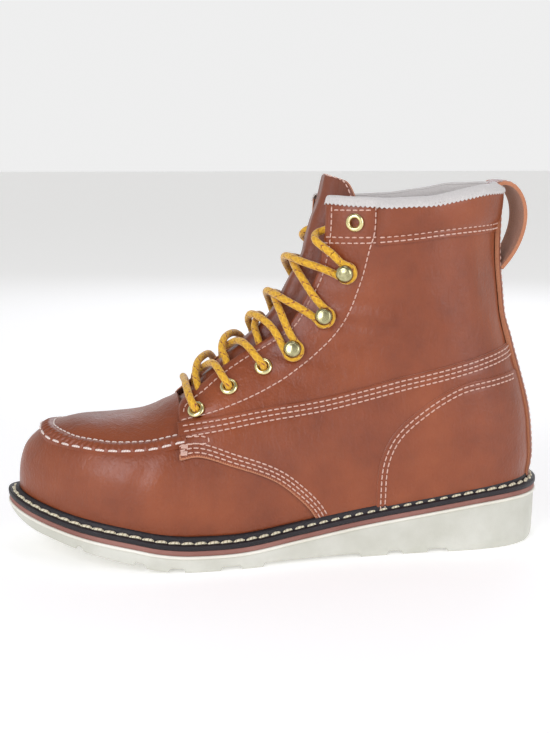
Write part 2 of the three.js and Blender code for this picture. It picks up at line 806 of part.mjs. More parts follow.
function eyelet() {
  const [flange, barrel, bore] = [eyeletFlange / 2, eyeletBarrel / 2, eyeletBore / 2];
  const depth = upperWall + hardwareLift - clearance;
  return turned(
    [
      [bore, -depth],
      [barrel, -depth],
      [barrel, 0],
      [flange, 0],
      [flange - 0.8, eyeletBead],
      [bore, eyeletBead],
      [bore, -depth],
    ],
    8,
  );
}

function ballHook() {
  const [base, neck, ball] = [hookBase / 2, hookNeck / 2, hookBall / 2];
  return turned(
    [
      [0, 0],
      [base, 0],
      [base, washer],
      [neck, washer + 0.3],
      [neck, hookHeight - ball],
      [ball, hookHeight - 0.45 * ball],
      [ball * 0.75, hookHeight - 0.12 * ball],
      [0, hookHeight],
    ],
    8,
  );
}

// Laces. A route runs over the upper's form from one spot to another, at a height above it.
const laceLift = hardwareLift + eyeletBead + 3 * clearance + laceDiameter / 2;
const laceSides = 5;
const endSides = 8;

function laceTube(route, sideCount = laceSides, step = 3 * laceDiameter) {
  const curve = new THREE.CatmullRomCurve3(route, false, 'centripetal');
  const ring = [];
  for (let i = 0; i < sideCount; i++) {
    const angle = (2 * Math.PI * i) / sideCount;
    ring.push(new THREE.Vector2(Math.cos(angle), Math.sin(angle)).multiplyScalar(laceDiameter / 2));
  }
  const steps = Math.round(curve.getLength() / step);
  return new THREE.ExtrudeGeometry(new THREE.Shape(ring), { extrudePath: curve, steps, bevelEnabled: false });
}

function laceRoute(from, to) {
  const steps = 8;
  const route = [];
  for (let i = 0; i <= steps; i++) {
    const share = i / steps;
    const turn = lerp(from.turn, to.turn, share);
    route.push(seat(turn, lerp(from.around, to.around, share), laceLift).point);
  }
  return route;
}

const lateralSpot = (row) => {
  const { turn, around } = spot(row);
  return { turn, around: -around };
};
const lacedRows = [...eyeletRows.slice(0, 3), ...hookRows];

// The lace passes on the throat side of a hook's neck and over the middle of an eyelet
const neckSide = (place, isHook) => ({ ...place, around: place.around * (isHook ? 0.86 : 1) });

function crossing(index) {
  const [low, high] = [index, index + 1].map((i) => [lacedRows[i], i >= 3]);
  const strand = (sign) => {
    const from = neckSide(sign < 0 ? lateralSpot(low[0]) : spot(low[0]), low[1]);
    const to = neckSide(sign < 0 ? spot(high[0]) : lateralSpot(high[0]), high[1]);
    return solid(laceTube(laceRoute(from, to)));
  };
  return strand(-1).add(strand(1));
}

// One solid: the bar between the lowest eyelets, and every crossing above it
function laces() {
  let joined = solid(laceTube(laceRoute(lateralSpot(lacedRows[0]), spot(lacedRows[0]))));
  for (let i = 0; i < lacedRows.length - 1; i++) joined = joined.add(crossing(i));
  return joined;
}

// Each end leaves the top hook, turns round the facing's edge and stands tucked behind it, up to the top
// eyelet. Rows give turn and place around the section, and height over the upper's outer face.
const tucked = -(upperWall + 6 * clearance + laceDiameter / 2);
const endRows = [
  { turn: 19.25, around: 0.236, lift: laceLift },
  { turn: 19.35, around: 0.205, lift: laceLift - 0.4 },
  { turn: 19.5, around: 0.17, lift: laceLift - 0.8 },
  { turn: 19.65, around: 0.142, lift: 2 },
  { turn: 19.85, around: 0.13, lift: -1.2 },
  { turn: 20.1, around: 0.14, lift: -3.9 },
  { turn: 20.45, around: 0.175, lift: tucked },
  { turn: 20.9, around: 0.205, lift: tucked },
  { turn: 21.3, around: 0.22, lift: tucked },
];

function laceEnd(side) {
  return laceTube(
    endRows.map(({ turn, around, lift }) => seat(turn, side.sign * around, lift).point),
    endSides,
    0.8 * laceDiameter,
  );
}

// Materials
const finish = (color, roughness, metalness = 0) => new THREE.MeshStandardMaterial({ color, roughness, metalness });
const leather = finish(0x9a4b2a, 0.45);
const leatherDark = finish(0x8a4023, 0.5);
const rubber = finish(0xe2e2d2, 0.7);
const midsoleRubber = finish(0xa3665a, 0.75);
const weltLeather = finish(0x3a3034, 0.6);
const footbed = finish(0xc9a27c, 0.8);
const brass = finish(0xd9cf9c, 0.3, 1);
const antiqueBrass = finish(0xb0a878, 0.35, 1);
const laceYarn = finish(0xe0ab22, 0.8);

const boot = new THREE.Group();

function add(name, geometry, material) {
  const mesh = new THREE.Mesh(geometry, material);
  mesh.name = name;
  boot.add(mesh);
}
const addSolid = (name, body, material) => add(name, geometryOf(body), material);

addSolid('outsole', outsole(), rubber);
addSolid('midsole', midsole(), midsoleRubber);
addSolid('welt', welt(), weltLeather);
addSolid('insole', insole(), footbed);
addSolid('upper', upper(), leather);
addSolid('tongue', tongue(), leather);
addSolid('moc_seam', solid(mocSeam()), leather);
addSolid('collar_band', collarBand(), leather);
addSolid('backstay', backstay(), leatherDark);
for (const side of sides) {
  addSolid(`quarter_${side.name}`, quarter(side), leather);
  addSolid(`eyestay_${side.name}`, eyestay(side), leather);
  addSolid(`counter_${side.name}`, counter(side), leather);
  eyeletRows.forEach((row, i) => {
    add(`eyelet_${side.name}_${i + 1}`, placed(eyelet(), seatOf(row, side, hardwareLift)), brass);
  });
  hookRows.forEach((row, i) => {
    add(`hook_${side.name}_${i + 1}`, placed(ballHook(), seatOf(row, side, hardwareLift)), antiqueBrass);
  });
}
addSolid('lace_crossings', laces(), laceYarn);
for (const side of sides) add(`lace_end_${side.name}`, laceEnd(side), laceYarn);

// The plan of the sole lies centred over the origin
const planSides = outlinePlan(0).map((point) => point.y);
boot.position.y = -(Math.min(...planSides) + Math.max(...planSides)) / 2;

export default boot;
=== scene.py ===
# %% [markdown]
# # A moc-toe work boot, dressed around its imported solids
#
# The boot arrives as a set of plain solids of the right size in the right place. Each one is dressed here
# as what it is on a real boot: a leather panel, a rubber sole, a row of thread or a brass hook. All
# lengths below are written in millimetres and turned to metres only when a mesh is made, because a
# shoemaker thinks in millimetres.

# %% The frame, and its box before anything is added
import math

import bpy
import numpy as np
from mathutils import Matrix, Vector
from mathutils.bvhtree import BVHTree
from mathutils.geometry import delaunay_2d_cdt


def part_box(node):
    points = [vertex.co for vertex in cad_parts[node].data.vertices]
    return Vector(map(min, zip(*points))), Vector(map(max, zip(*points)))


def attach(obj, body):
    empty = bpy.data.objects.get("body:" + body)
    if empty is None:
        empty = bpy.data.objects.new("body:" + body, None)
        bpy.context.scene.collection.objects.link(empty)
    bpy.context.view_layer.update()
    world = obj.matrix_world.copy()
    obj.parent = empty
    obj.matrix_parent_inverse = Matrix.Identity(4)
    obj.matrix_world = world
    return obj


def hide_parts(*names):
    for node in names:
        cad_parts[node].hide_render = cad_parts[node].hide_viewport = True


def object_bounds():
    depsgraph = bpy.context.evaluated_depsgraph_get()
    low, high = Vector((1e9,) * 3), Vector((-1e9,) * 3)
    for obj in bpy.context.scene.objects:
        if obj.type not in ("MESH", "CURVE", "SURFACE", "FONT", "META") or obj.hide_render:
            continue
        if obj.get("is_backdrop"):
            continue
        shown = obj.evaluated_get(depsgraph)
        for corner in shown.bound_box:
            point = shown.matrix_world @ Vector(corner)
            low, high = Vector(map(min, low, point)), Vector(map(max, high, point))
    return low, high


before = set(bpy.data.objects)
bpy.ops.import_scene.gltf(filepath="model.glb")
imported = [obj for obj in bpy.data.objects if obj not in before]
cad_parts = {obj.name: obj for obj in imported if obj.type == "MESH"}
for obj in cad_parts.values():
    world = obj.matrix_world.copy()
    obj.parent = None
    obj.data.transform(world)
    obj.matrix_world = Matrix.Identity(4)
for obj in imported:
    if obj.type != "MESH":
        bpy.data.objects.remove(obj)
cad_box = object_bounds()
MM = 0.001
print("frame:", len(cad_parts), "solids")

# %% [markdown]
# ## Small helpers
#
# A mesh is made from an array of points and a list of faces. Each face carries the mark of its material,
# so a panel can have a polished face and a raw edge. Edges sharper than a limit stay crisp, and all others
# are shaded smooth. The points are measured from the boot's own middle line. The frame centres the sole's
# plan instead, so every piece moves sideways by the same SIDE_SHIFT, which is worked out below.

# %% Making a piece
CREASE_ANGLE = math.radians(48)


def make_piece(name, points, faces, materials, replaced=(), marks=None, uv=None):
    """A mesh piece from points in millimetres, riding on the boot's one body."""
    mesh = bpy.data.meshes.new(name)
    metres = ((np.asarray(points, float) + [0.0, SIDE_SHIFT, 0.0]) * MM).tolist()
    mesh.from_pydata(metres, [], [list(map(int, face)) for face in faces])
    for material in materials:
        mesh.materials.append(material)
    mesh.polygons.foreach_set("use_smooth", [True] * len(mesh.polygons))
    if marks is not None:
        mesh.polygons.foreach_set("material_index", np.asarray(marks, np.int32))
    if uv is not None:
        layer = mesh.uv_layers.new(name="along")
        loops = np.zeros(len(mesh.loops), np.int32)
        mesh.loops.foreach_get("vertex_index", loops)
        layer.data.foreach_set("uv", np.asarray(uv, np.float32)[loops].ravel())
    mesh.validate()
    mesh.update()
    mesh.set_sharp_from_angle(angle=CREASE_ANGLE)
    piece = bpy.data.objects.new(name, mesh)
    bpy.context.scene.collection.objects.link(piece)
    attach(piece, "root")
    if replaced:
        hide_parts(*replaced)
    print(f"{name}: {sum(len(face) - 2 for face in faces)} triangles")
    return piece


# %% Faces of sheets, tubes and strips
def grid_faces(rows, columns, wrap_rows=False, wrap_columns=False, first=0):
    """Quads over a grid of points laid out row by row."""
    faces = []
    for i in range(rows if wrap_rows else rows - 1):
        for j in range(columns if wrap_columns else columns - 1):
            a, b = first + i * columns + j, first + i * columns + (j + 1) % columns
            below = ((i + 1) % rows) * columns - i * columns
            faces.append((a, b, b + below, a + below))
    return faces


def tube_faces(rings, sides, turned_over=False):
    """A tube of rings, with a lid on its first ring and on its last."""
    faces = grid_faces(rings, sides, wrap_columns=True)
    faces += [tuple(range(sides))[::-1], tuple(range((rings - 1) * sides, rings * sides))]
    return [face[::-1] for face in faces] if turned_over else faces


def strip_faces(rows, columns):
    """A closed strip: long rows that wrap round, with a lid at both ends of the rows."""
    lid = [row * columns for row in range(rows)]
    ends = [tuple(lid), tuple(index + columns - 1 for index in lid[::-1])]
    return grid_faces(rows, columns, wrap_rows=True) + ends


def thickened(top, low, faces, marks=(0, 1, 1)):
    """A sheet with its lower face and a wall round every rim, and which material each face has."""
    count = len(top)
    edges = {(a, b): True for face in faces for a, b in zip(face, face[1:] + face[:1])}
    walls = [(b, a, a + count, b + count) for a, b in edges if (b, a) not in edges]
    under = [tuple(index + count for index in face[::-1]) for face in faces]
    marked = [marks[0]] * len(faces) + [marks[1]] * len(under) + [marks[2]] * len(walls)
    return np.vstack([top, low]), faces + under + walls, marked


def joined(parts):
    """Several (points, faces) joined into one."""
    points, faces, start = [], [], 0
    for part_points, part_faces in parts:
        points.append(np.asarray(part_points, float))
        faces += [tuple(start + index for index in face) for face in part_faces]
        start += len(part_points)
    return np.vstack(points), faces


# %% Sums that many cells share
def smooth_step(value, low, high):
    share = np.clip((value - low) / (high - low), 0.0, 1.0)
    return share * share * (3.0 - 2.0 * share)


def unit(vectors):
    return vectors / np.maximum(np.linalg.norm(vectors, axis=-1, keepdims=True), 1e-9)


def bump_at(value, middle, wide):
    """A soft bump of height 1 in the middle."""
    return np.exp(-(((value - middle) / wide) ** 2))


def reach_of(points):
    """How far along a line each of its points lies."""
    return np.concatenate([[0], np.cumsum(np.linalg.norm(np.diff(points, axis=0), axis=1))])


# %% [markdown]
# ## Camera
#
# The photograph looks at the outer side of the boot, a little from the toe and a little from above. The
# camera stands about two thirds of a metre away with a short portrait lens. Its aim is worked out from two
# angles, so it is easy to change.

# %% The camera
CAMERA_TURN = math.radians(7.5)
CAMERA_DOWN = math.radians(10.2)
CAMERA_PLACE = np.array([-88.6, -661.4, 222.1])
LENS_MM = 58.3

camera_data = bpy.data.cameras.new("camera")
camera_data.sensor_fit = "VERTICAL"
camera_data.sensor_height = 36.0
camera_data.lens = LENS_MM
camera_data.clip_start = 0.01
camera = bpy.data.objects.new("camera", camera_data)
bpy.context.scene.collection.objects.link(camera)
camera.location = CAMERA_PLACE * MM
camera.rotation_euler = (math.pi / 2 - CAMERA_DOWN, 0.0, -CAMERA_TURN)
bpy.context.scene.camera = camera

# %% [markdown]
# ## Floor and light
#
# The boot stands on a plain pale floor in a light tent that is bright round the sides and dimmer above,
# so that the top of the toe keeps its deep colour. The rest comes from large area lamps low on the
# camera's side, so the boot's side is brighter than its top. A weak lamp above and one behind draw the
# edges. The floor glows a little, as a lit backdrop does.

# %% Floor, lamps and the room's own light
def colour(code):
    """A colour written as sRGB hex, as the linear values that shaders need."""
    channels = [int(code[i : i + 2], 16) / 255 for i in (1, 3, 5)]
    return tuple(c / 12.92 if c <= 0.04045 else ((c + 0.055) / 1.055) ** 2.4 for c in channels) + (1.0,)


def add_node(tree, kind, inputs=None, **settings):
    """One shader node. An input is given a value, or another node's output to link from."""
    node = tree.nodes.new(kind)
    for name, value in settings.items():
        setattr(node, name, value)
    for name, value in (inputs or {}).items():
        if isinstance(value, bpy.types.NodeSocket):
            tree.links.new(value, node.inputs[name])
        else:
            node.inputs[name].default_value = value
    return node


FLOOR_HALF = 14.0
FLOOR_GLOW = 0.3
SKY_LOW = 0.86
SKY_HIGH = 0.34
LAMPS = {
    "key_toe_side": {"place": (-0.85, -1.05, 0.75), "size": (0.7, 1.1), "watts": 10.5},
    "fill_heel_side": {"place": (0.95, -1.05, 0.6), "size": (0.5, 1.0), "watts": 6.5},
    "top_soft": {"place": (0.1, 0.1, 1.5), "size": (0.5, 0.5), "watts": 1.5},
    "rim_behind": {"place": (0.3, 1.1, 0.7), "size": (1.0, 0.6), "watts": 3.0},
}
LAMP_AIM = Vector((0.0, 0.0, 0.09))
LAMP_TINT = (0.88, 0.9, 1.0)

scene = bpy.context.scene
scene.view_settings.view_transform = "Standard"
world = bpy.data.worlds.new("studio")
world.use_nodes = True
world.node_tree.nodes["Background"].inputs["Color"].default_value = (1.0, 1.0, 1.0, 1.0)
upward = add_node(world.node_tree, "ShaderNodeTexCoord").outputs["Generated"]
rise = add_node(world.node_tree, "ShaderNodeSeparateXYZ", {"Vector": upward}).outputs["Z"]
fall = {"Value": rise, "From Min": 0.2, "From Max": 0.75, "To Min": SKY_LOW, "To Max": SKY_HIGH}
sky = add_node(world.node_tree, "ShaderNodeMapRange", fall).outputs["Result"]
world.node_tree.links.new(sky, world.node_tree.nodes["Background"].inputs["Strength"])
scene.world = world

floor_mesh = bpy.data.meshes.new("floor")
corners = [(FLOOR_HALF * x, FLOOR_HALF * y, 0) for x, y in ((-1, -1), (1, -1), (1, 1), (-1, 1))]
floor_mesh.from_pydata(corners, [], [(0, 1, 2, 3)])
floor_paint = bpy.data.materials.new("floor_paint")
floor_paint.use_nodes = True
floor_shader = floor_paint.node_tree.nodes["Principled BSDF"]
floor_shader.inputs["Base Color"].default_value = colour("#F4F3F1")
floor_shader.inputs["Roughness"].default_value = 0.7
floor_shader.inputs["Emission Color"].default_value = colour("#FFFFFF")
floor_shader.inputs["Emission Strength"].default_value = FLOOR_GLOW
floor_mesh.materials.append(floor_paint)
floor = bpy.data.objects.new("floor", floor_mesh)
scene.collection.objects.link(floor)
floor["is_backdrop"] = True

for lamp_name, lamp in LAMPS.items():
    lamp_data = bpy.data.lights.new(lamp_name, "AREA")
    lamp_data.shape = "RECTANGLE"
    lamp_data.size, lamp_data.size_y = lamp["size"]
    lamp_data.energy = lamp["watts"]
    lamp_data.color = LAMP_TINT
    lamp_object = bpy.data.objects.new(lamp_name, lamp_data)
    scene.collection.objects.link(lamp_object)
    lamp_object.location = lamp["place"]
    aim = LAMP_AIM - Vector(lamp["place"])
    lamp_object.rotation_euler = aim.to_track_quat("-Z", "Y").to_euler()

# %% [markdown]
# ## The shape that the leather is pulled over
#
# A shoemaker pulls every panel over one last, a solid foot form. The same is done here: one function says
# where the outer face of the upper lies, for any section and any place around it, and each panel, stitch
# and lace is laid on that face. The sections are a small table of shares, read smoothly, and the real
# sizes come from the frame.

# %% Reading small tables
def table(text):
    """A table written as text. Its first line names the columns."""
    names, *rows = [line.split() for line in text.strip().splitlines()]
    return dict(zip(names, np.array(rows, float).T))


def smooth_reader(keys, columns):
    """Reads several columns at any key, along one smooth curve through the rows."""
    keys = np.asarray(keys, float)
    names = list(columns)
    values = np.array([columns[name] for name in names])

    def read(place):
        place = np.clip(np.asarray(place, float), keys[0], keys[-1])
        right = np.clip(np.searchsorted(keys, place, side="right"), 1, len(keys) - 1)
        left = right - 1
        t0, t1 = keys[left], keys[right]
        before = np.where(left == 0, right, left - 1)
        after = np.where(right == len(keys) - 1, left, np.minimum(right + 1, len(keys) - 1))
        half = 0.5 * (t1 - t0)
        pull_before = half / (t0 - keys[before])
        pull_after = half / (keys[after] - t1)
        p = (place - t0) / (t1 - t0)
        p2, p3 = p * p, p * p * p
        weights = (
            (-p3 + 2 * p2 - p) * pull_before,
            (1 + pull_before) * p3 + (-1.5 - 2 * pull_before) * p2 + (-0.5 + pull_before) * p + 1,
            (-1 - pull_after) * p3 + (1.5 + pull_after) * p2 + 0.5 * p,
            (p3 - p2) * pull_after,
        )
        found = sum(values[:, at] * weight for at, weight in zip((before, left, right, after), weights))
        return dict(zip(names, found))

    return read


# %% The outline of the sole
OUTLINE = table("""
at      centre  half
0.0     0.0     0.0
0.032   0.0     0.236
0.081   -0.002  0.327
0.162   -0.007  0.366
0.26    -0.02   0.361
0.39    -0.045  0.364
0.487   -0.057  0.393
0.584   -0.052  0.452
0.666   -0.034  0.489
0.747   -0.016  0.493
0.828   0.009   0.4545
0.909   0.036   0.3545
0.9675  0.05    0.215
1.0     0.055   0.0
""")


def half_turn(share):
    return np.arccos(1 - 2 * np.clip(share, 0, 1))


outline_at = smooth_reader(half_turn(OUTLINE["at"]), OUTLINE)
outline_shares = 0.5 - 0.5 * np.cos(np.linspace(0, math.pi, 400))
outline_read = outline_at(half_turn(outline_shares))
outline_inner = (outline_read["centre"] + outline_read["half"]).max()
outline_outer = (outline_read["centre"] - outline_read["half"]).min()

sole_low, sole_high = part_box("outsole")
SOLE_LENGTH = (sole_high.x - sole_low.x) / MM
BALL_WIDTH = (sole_high.y - sole_low.y) / MM / (outline_inner - outline_outer)
SIDE_SHIFT = -0.5 * BALL_WIDTH * (outline_inner + outline_outer)
print(f"sole {SOLE_LENGTH:.0f} mm long, {BALL_WIDTH:.0f} mm wide at the ball")


def along_sole(share):
    return SOLE_LENGTH * (0.5 - np.asarray(share, float))


def share_at(x):
    return 0.5 - np.asarray(x, float) / SOLE_LENGTH


def sole_outline(share):
    row = outline_at(half_turn(share))
    return row["centre"] * BALL_WIDTH, row["half"] * BALL_WIDTH


# %% The layers of the sole, seen from the side
SIDE = table("""
at     thick  bottom
0.0    0.841  0.22
0.02   0.981  0.04
0.05   1.012  0.0
0.14   0.958  0.0
0.253  0.793  0.0
0.364  0.641  0.0
0.47   0.479  0.0
0.578  0.34   0.0
0.675  0.331  0.0
0.73   0.342  0.06
0.773  0.334  0.19
0.873  0.279  0.5
0.92   0.26   0.68
0.961  0.254  0.84
1.0    0.189  1.12
""")
side_at = smooth_reader(SIDE["at"], SIDE)
HEEL_HEIGHT = 29.0
TOE_SPRING = 21.0
MIDSOLE_THICK = 2.7
WELT_THICK = 2.7
LAYER_GAP = 0.3
LIP_TALL = 3.2
INSOLE_THICK = 3.0


def outsole_bottom(x):
    return np.maximum(0.0, TOE_SPRING * side_at(share_at(x))["bottom"])


def outsole_top(x):
    return outsole_bottom(x) + HEEL_HEIGHT * side_at(share_at(x))["thick"]


def midsole_top(x):
    return outsole_top(x) + LAYER_GAP + MIDSOLE_THICK


def welt_top(x):
    return midsole_top(x) + LAYER_GAP + WELT_THICK


def rim(x):
    return welt_top(x) + LAYER_GAP


# %% The sections of the upper
INSTEP_SHARE = 0.445
INSTEP_HEIGHT = 89.0
COLLAR_HEIGHT = 200.0
BACK = table("""
height  at
0.1     0.024
0.2     0.0245
0.235   0.0215
0.296   0.023
0.388   0.031
0.479   0.0474
0.569   0.0656
0.658   0.0812
0.746   0.0893
0.833   0.0951
0.905   0.0942
1.0     0.0925
1.08    0.091
""")
SECTIONS = table("""
foot    low    ridge   high    crown  power  flare
0.9786  0.13   0.9786  0.215   0.35   2.1    1.0
0.9753  0.125  0.9747  0.257   0.35   2.1    1.0
0.966   0.115  0.9643  0.3     0.36   2.1    1.01
0.945   0.1    0.9416  0.336   0.38   2.2    1.02
0.912   0.075  0.909   0.362   0.42   2.3    1.03
0.867   0.055  0.864   0.377   0.45   2.4    1.04
0.805   0.035  0.805   0.382   0.45   2.4    1.05
0.74    0.03   0.747   0.394   0.43   2.3    1.05
0.669   0.033  0.701   0.4275  0.4    2.15   1.04
0.61    0.033  0.669   0.4625  0.37   2.05   1.03
0.545   0.038  0.636   0.5175  0.35   2.0    1.02
0.474   0.053  0.603   0.561   0.35   1.95   1.02
0.39    0.073  0.556   0.6225  0.37   1.95   1.03
0.299   0.093  0.529   0.6675  0.4    2.0    1.05
0.201   0.113  0.511   0.705   0.43   2.05   1.05
0.104   0.125  0.497   0.7425  0.45   2.1    1.05
0.015   0.145  0.484   0.7825  0.47   2.1    1.05
-0.02   0.25   0.473   0.815   0.48   2.15   1.06
-0.02   0.37   0.465   0.843   0.48   2.15   1.07
-0.02   0.51   0.458   0.88    0.48   2.2    1.08
-0.02   0.66   0.4525  0.91    0.48   2.25   1.1
-0.02   0.8    0.4475  0.9405  0.48   2.3    1.13
-0.02   0.925  0.4396  0.9775  0.48   2.35   1.15
-0.02   1.01   0.4325  1.0105  0.48   2.4    1.16
-0.02   1.07   0.4221  1.075   0.48   2.4    1.16
""")
LAST_TURN = len(SECTIONS["foot"]) - 1
FOOT_SHARE = 0.865
UPPER_TOE = 0.979
SETBACK = (-0.2, 0.06)
CENTRE_FADE = (0.3, 0.6)

back_at = smooth_reader(BACK["height"], BACK)
section_at = smooth_reader(np.arange(LAST_TURN + 1), SECTIONS)


def height_of(share):
    share = np.asarray(share, float)
    above = INSTEP_HEIGHT + (COLLAR_HEIGHT - INSTEP_HEIGHT) * (share - INSTEP_SHARE) / (1 - INSTEP_SHARE)
    return np.where(share < INSTEP_SHARE, INSTEP_HEIGHT * share / INSTEP_SHARE, above)


def height_share(z):
    z = np.asarray(z, float)
    above = INSTEP_SHARE + (1 - INSTEP_SHARE) * (z - INSTEP_HEIGHT) / (COLLAR_HEIGHT - INSTEP_HEIGHT)
    return np.where(z < INSTEP_HEIGHT, INSTEP_SHARE * z / INSTEP_HEIGHT, above)


def backline(z):
    return along_sole(back_at(height_share(z))["at"])


def upper_plan(x, z):
    heel, toe = backline(0.0), along_sole(UPPER_TOE)
    setback = (heel - backline(z)) * smooth_step(x, SETBACK[0] * SOLE_LENGTH, SETBACK[1] * SOLE_LENGTH)
    centre, half = sole_outline((heel - x - setback) / (heel - toe))
    fade = 1 - smooth_step(z, height_of(CENTRE_FADE[0]), height_of(CENTRE_FADE[1]))
    return centre * fade, half * FOOT_SHARE


def section_ends(turn):
    row = section_at(turn)
    foot_z = height_of(row["low"])
    foot_x = np.minimum(along_sole(row["foot"]), backline(foot_z))
    return row, foot_x, foot_z, along_sole(row["ridge"]), height_of(row["high"])


def skin(turn, around):
    """Points of the upper's face. around is -1 at the outer foot, 0 on the ridge and 1 at the inner foot."""
    turn, around = np.broadcast_arrays(np.asarray(turn, float), np.asarray(around, float))
    row, foot_x, foot_z, ridge_x, ridge_z = section_ends(turn)
    share = 0.5 - 0.5 * np.cos(math.pi * (1 - np.abs(around)))
    x = foot_x + (ridge_x - foot_x) * share
    z = foot_z + (ridge_z - foot_z) * share
    centre, half = upper_plan(x, z)
    flare = 1 + (row["flare"] - 1) * smooth_step(share, 0, row["crown"])
    over = np.maximum(0, (share - row["crown"]) / (1 - row["crown"]))
    crown = np.maximum(0, 1 - over ** row["power"]) ** (1 / row["power"])
    return np.stack([x, centre + np.sign(around) * half * flare * crown, z], axis=-1)


# %% [markdown]
# ### Bends in the leather
#
# The boot has been worn a little, so the vamp and the ankle have begun to fold. Each row below is one soft
# trough in the side view, from (x0, z0) to (x1, z1), with its width and depth. The hide swells beside it.

# %% Bends, and places over the upper's face
CREASES = table("""
x0      z0      x1      z1      wide    deep
-62.0   56.0    -70.0   33.0    3.4     0.3
-74.0   60.0    -86.0   40.0    3.8     0.28
-44.0   55.0    -47.0   33.0    2.6     0.35
-36.0   52.0    -38.0   33.0    2.4     0.3
-52.0   57.0    -57.0   36.0    2.6     0.3
-18.0   106.0   14.0    96.0    3.0     0.35
-4.0    113.0   34.0    107.0   2.6     0.4
18.0    121.0   58.0    118.0   2.8     0.55
24.0    130.0   70.0    127.0   3.4     0.8
30.0    141.0   62.0    139.0   3.6     0.7
58.0    152.0   84.0    118.0   7.0     0.7
112.0   172.0   118.0   134.0   6.0     0.9
""")


def soft_creases(points):
    """How far the troughs and swellings move the leather in or out."""
    swell = np.zeros(points.shape[:-1])
    for x0, z0, x1, z1, wide, deep in zip(*CREASES.values()):
        dx, dz = x1 - x0, z1 - z0
        along = ((points[..., 0] - x0) * dx + (points[..., 2] - z0) * dz) / (dx * dx + dz * dz)
        apart = np.hypot(points[..., 0] - x0 - along * dx, points[..., 2] - z0 - along * dz) / wide
        fade = np.exp(-((2.0 * (along - 0.5)) ** 4))
        swell += deep * fade * (0.55 * bump_at(apart, 1.9, 1.0) - bump_at(apart, 0.0, 1.0))
    return swell


def seat(turn, around, lift=0.0):
    """Points over the upper's face, lifted off it, and the directions straight out."""
    turn, around = np.broadcast_arrays(np.asarray(turn, float), np.asarray(around, float))
    low, high = np.maximum(turn - 0.05, 0), np.minimum(turn + 0.05, LAST_TURN)
    along = skin(high, around) - skin(low, around)
    across = skin(turn, around + 0.01) - skin(turn, around - 0.01)
    out = -unit(np.cross(across, along))
    points = skin(turn, around)
    return points + out * (np.asarray(lift, float) + soft_creases(points))[..., None], out


def spot(x, z):
    """The section and the place around it that show at a point of the side view."""
    x, z = np.asarray(x, float), np.asarray(z, float)

    def past(turn):
        _, foot_x, foot_z, ridge_x, ridge_z = section_ends(turn)
        return (ridge_x - foot_x) * (z - foot_z) - (ridge_z - foot_z) * (x - foot_x)

    low, high = np.zeros_like(x), np.full_like(x, LAST_TURN)
    first_side = past(low) > 0
    for _ in range(40):
        middle = (low + high) / 2
        same = (past(middle) > 0) == first_side
        low, high = np.where(same, middle, low), np.where(same, high, middle)
    _, foot_x, foot_z, ridge_x, ridge_z = section_ends(low)
    chord_x, chord_z = ridge_x - foot_x, ridge_z - foot_z
    share = ((x - foot_x) * chord_x + (z - foot_z) * chord_z) / (chord_x**2 + chord_z**2)
    return low, 1 - np.arccos(np.clip(1 - 2 * share, -1, 1)) / math.pi


def on_side(x, z, sign, lift=0.0):
    """Points on one side of the boot, at places of the side view."""
    turn, around = spot(x, z)
    return seat(turn, sign * around, lift)


SIDES = {"lateral": -1, "medial": 1}

# %% [markdown]
# ## Finishes
#
# Each finish is built from plain shader nodes. A noise or cell pattern, whose scale comes from a real size
# in millimetres, drives colour, roughness and a small bump. A ramp of two values stretches the middle of a
# noise over the whole range, because noise seldom reaches 0 or 1.

# %% A new finish, and the names of its nodes
NOISE = "ShaderNodeTexNoise"
RANGE = "ShaderNodeMapRange"
MIX = "ShaderNodeMix"
BUMP = "ShaderNodeBump"
MATH = "ShaderNodeMath"
FIRST, SECOND, MIXED = 6, 7, 2  # a mix node's two colours, and its colour output


def finish(name, base, roughness, metallic=0.0, **inputs):
    """A new material with its main shader, and the place on the object that its patterns read."""
    material = bpy.data.materials.new(name)
    material.use_nodes = True
    tree = material.node_tree
    shader = tree.nodes["Principled BSDF"]
    shader.inputs["Base Color"].default_value = colour(base)
    shader.inputs["Roughness"].default_value = roughness
    shader.inputs["Metallic"].default_value = metallic
    for label, value in inputs.items():
        shader.inputs[label.replace("_", " ")].default_value = value
    return material, tree, shader, add_node(tree, "ShaderNodeTexCoord").outputs["Object"]


def per_metre(size_mm):
    """The scale that gives a pattern features of this size."""
    return 1.0 / (size_mm * MM)


# %% [markdown]
# ### Smooth full-grain leather
#
# The upper is chrome-tanned cowhide with an oily, waxed finish. The eye reads three things: a warm
# red-brown that darkens a little where the hide is denser, a fine grain of cells, and a soft gloss from
# the wax. The real grain is under a millimetre wide, too fine for the picture, so it is drawn at 1.5 mm.
# Bends in the hide show as faint wrinkles that run one way, so one of the noise patterns is stretched.

# %% Leather
CLOUD_MM = 46.0
MOTTLE_MM = 7.0
WRINKLE_MM = 3.4
WRINKLE_DEEP = 0.5
GRAIN_DEEP = 0.2


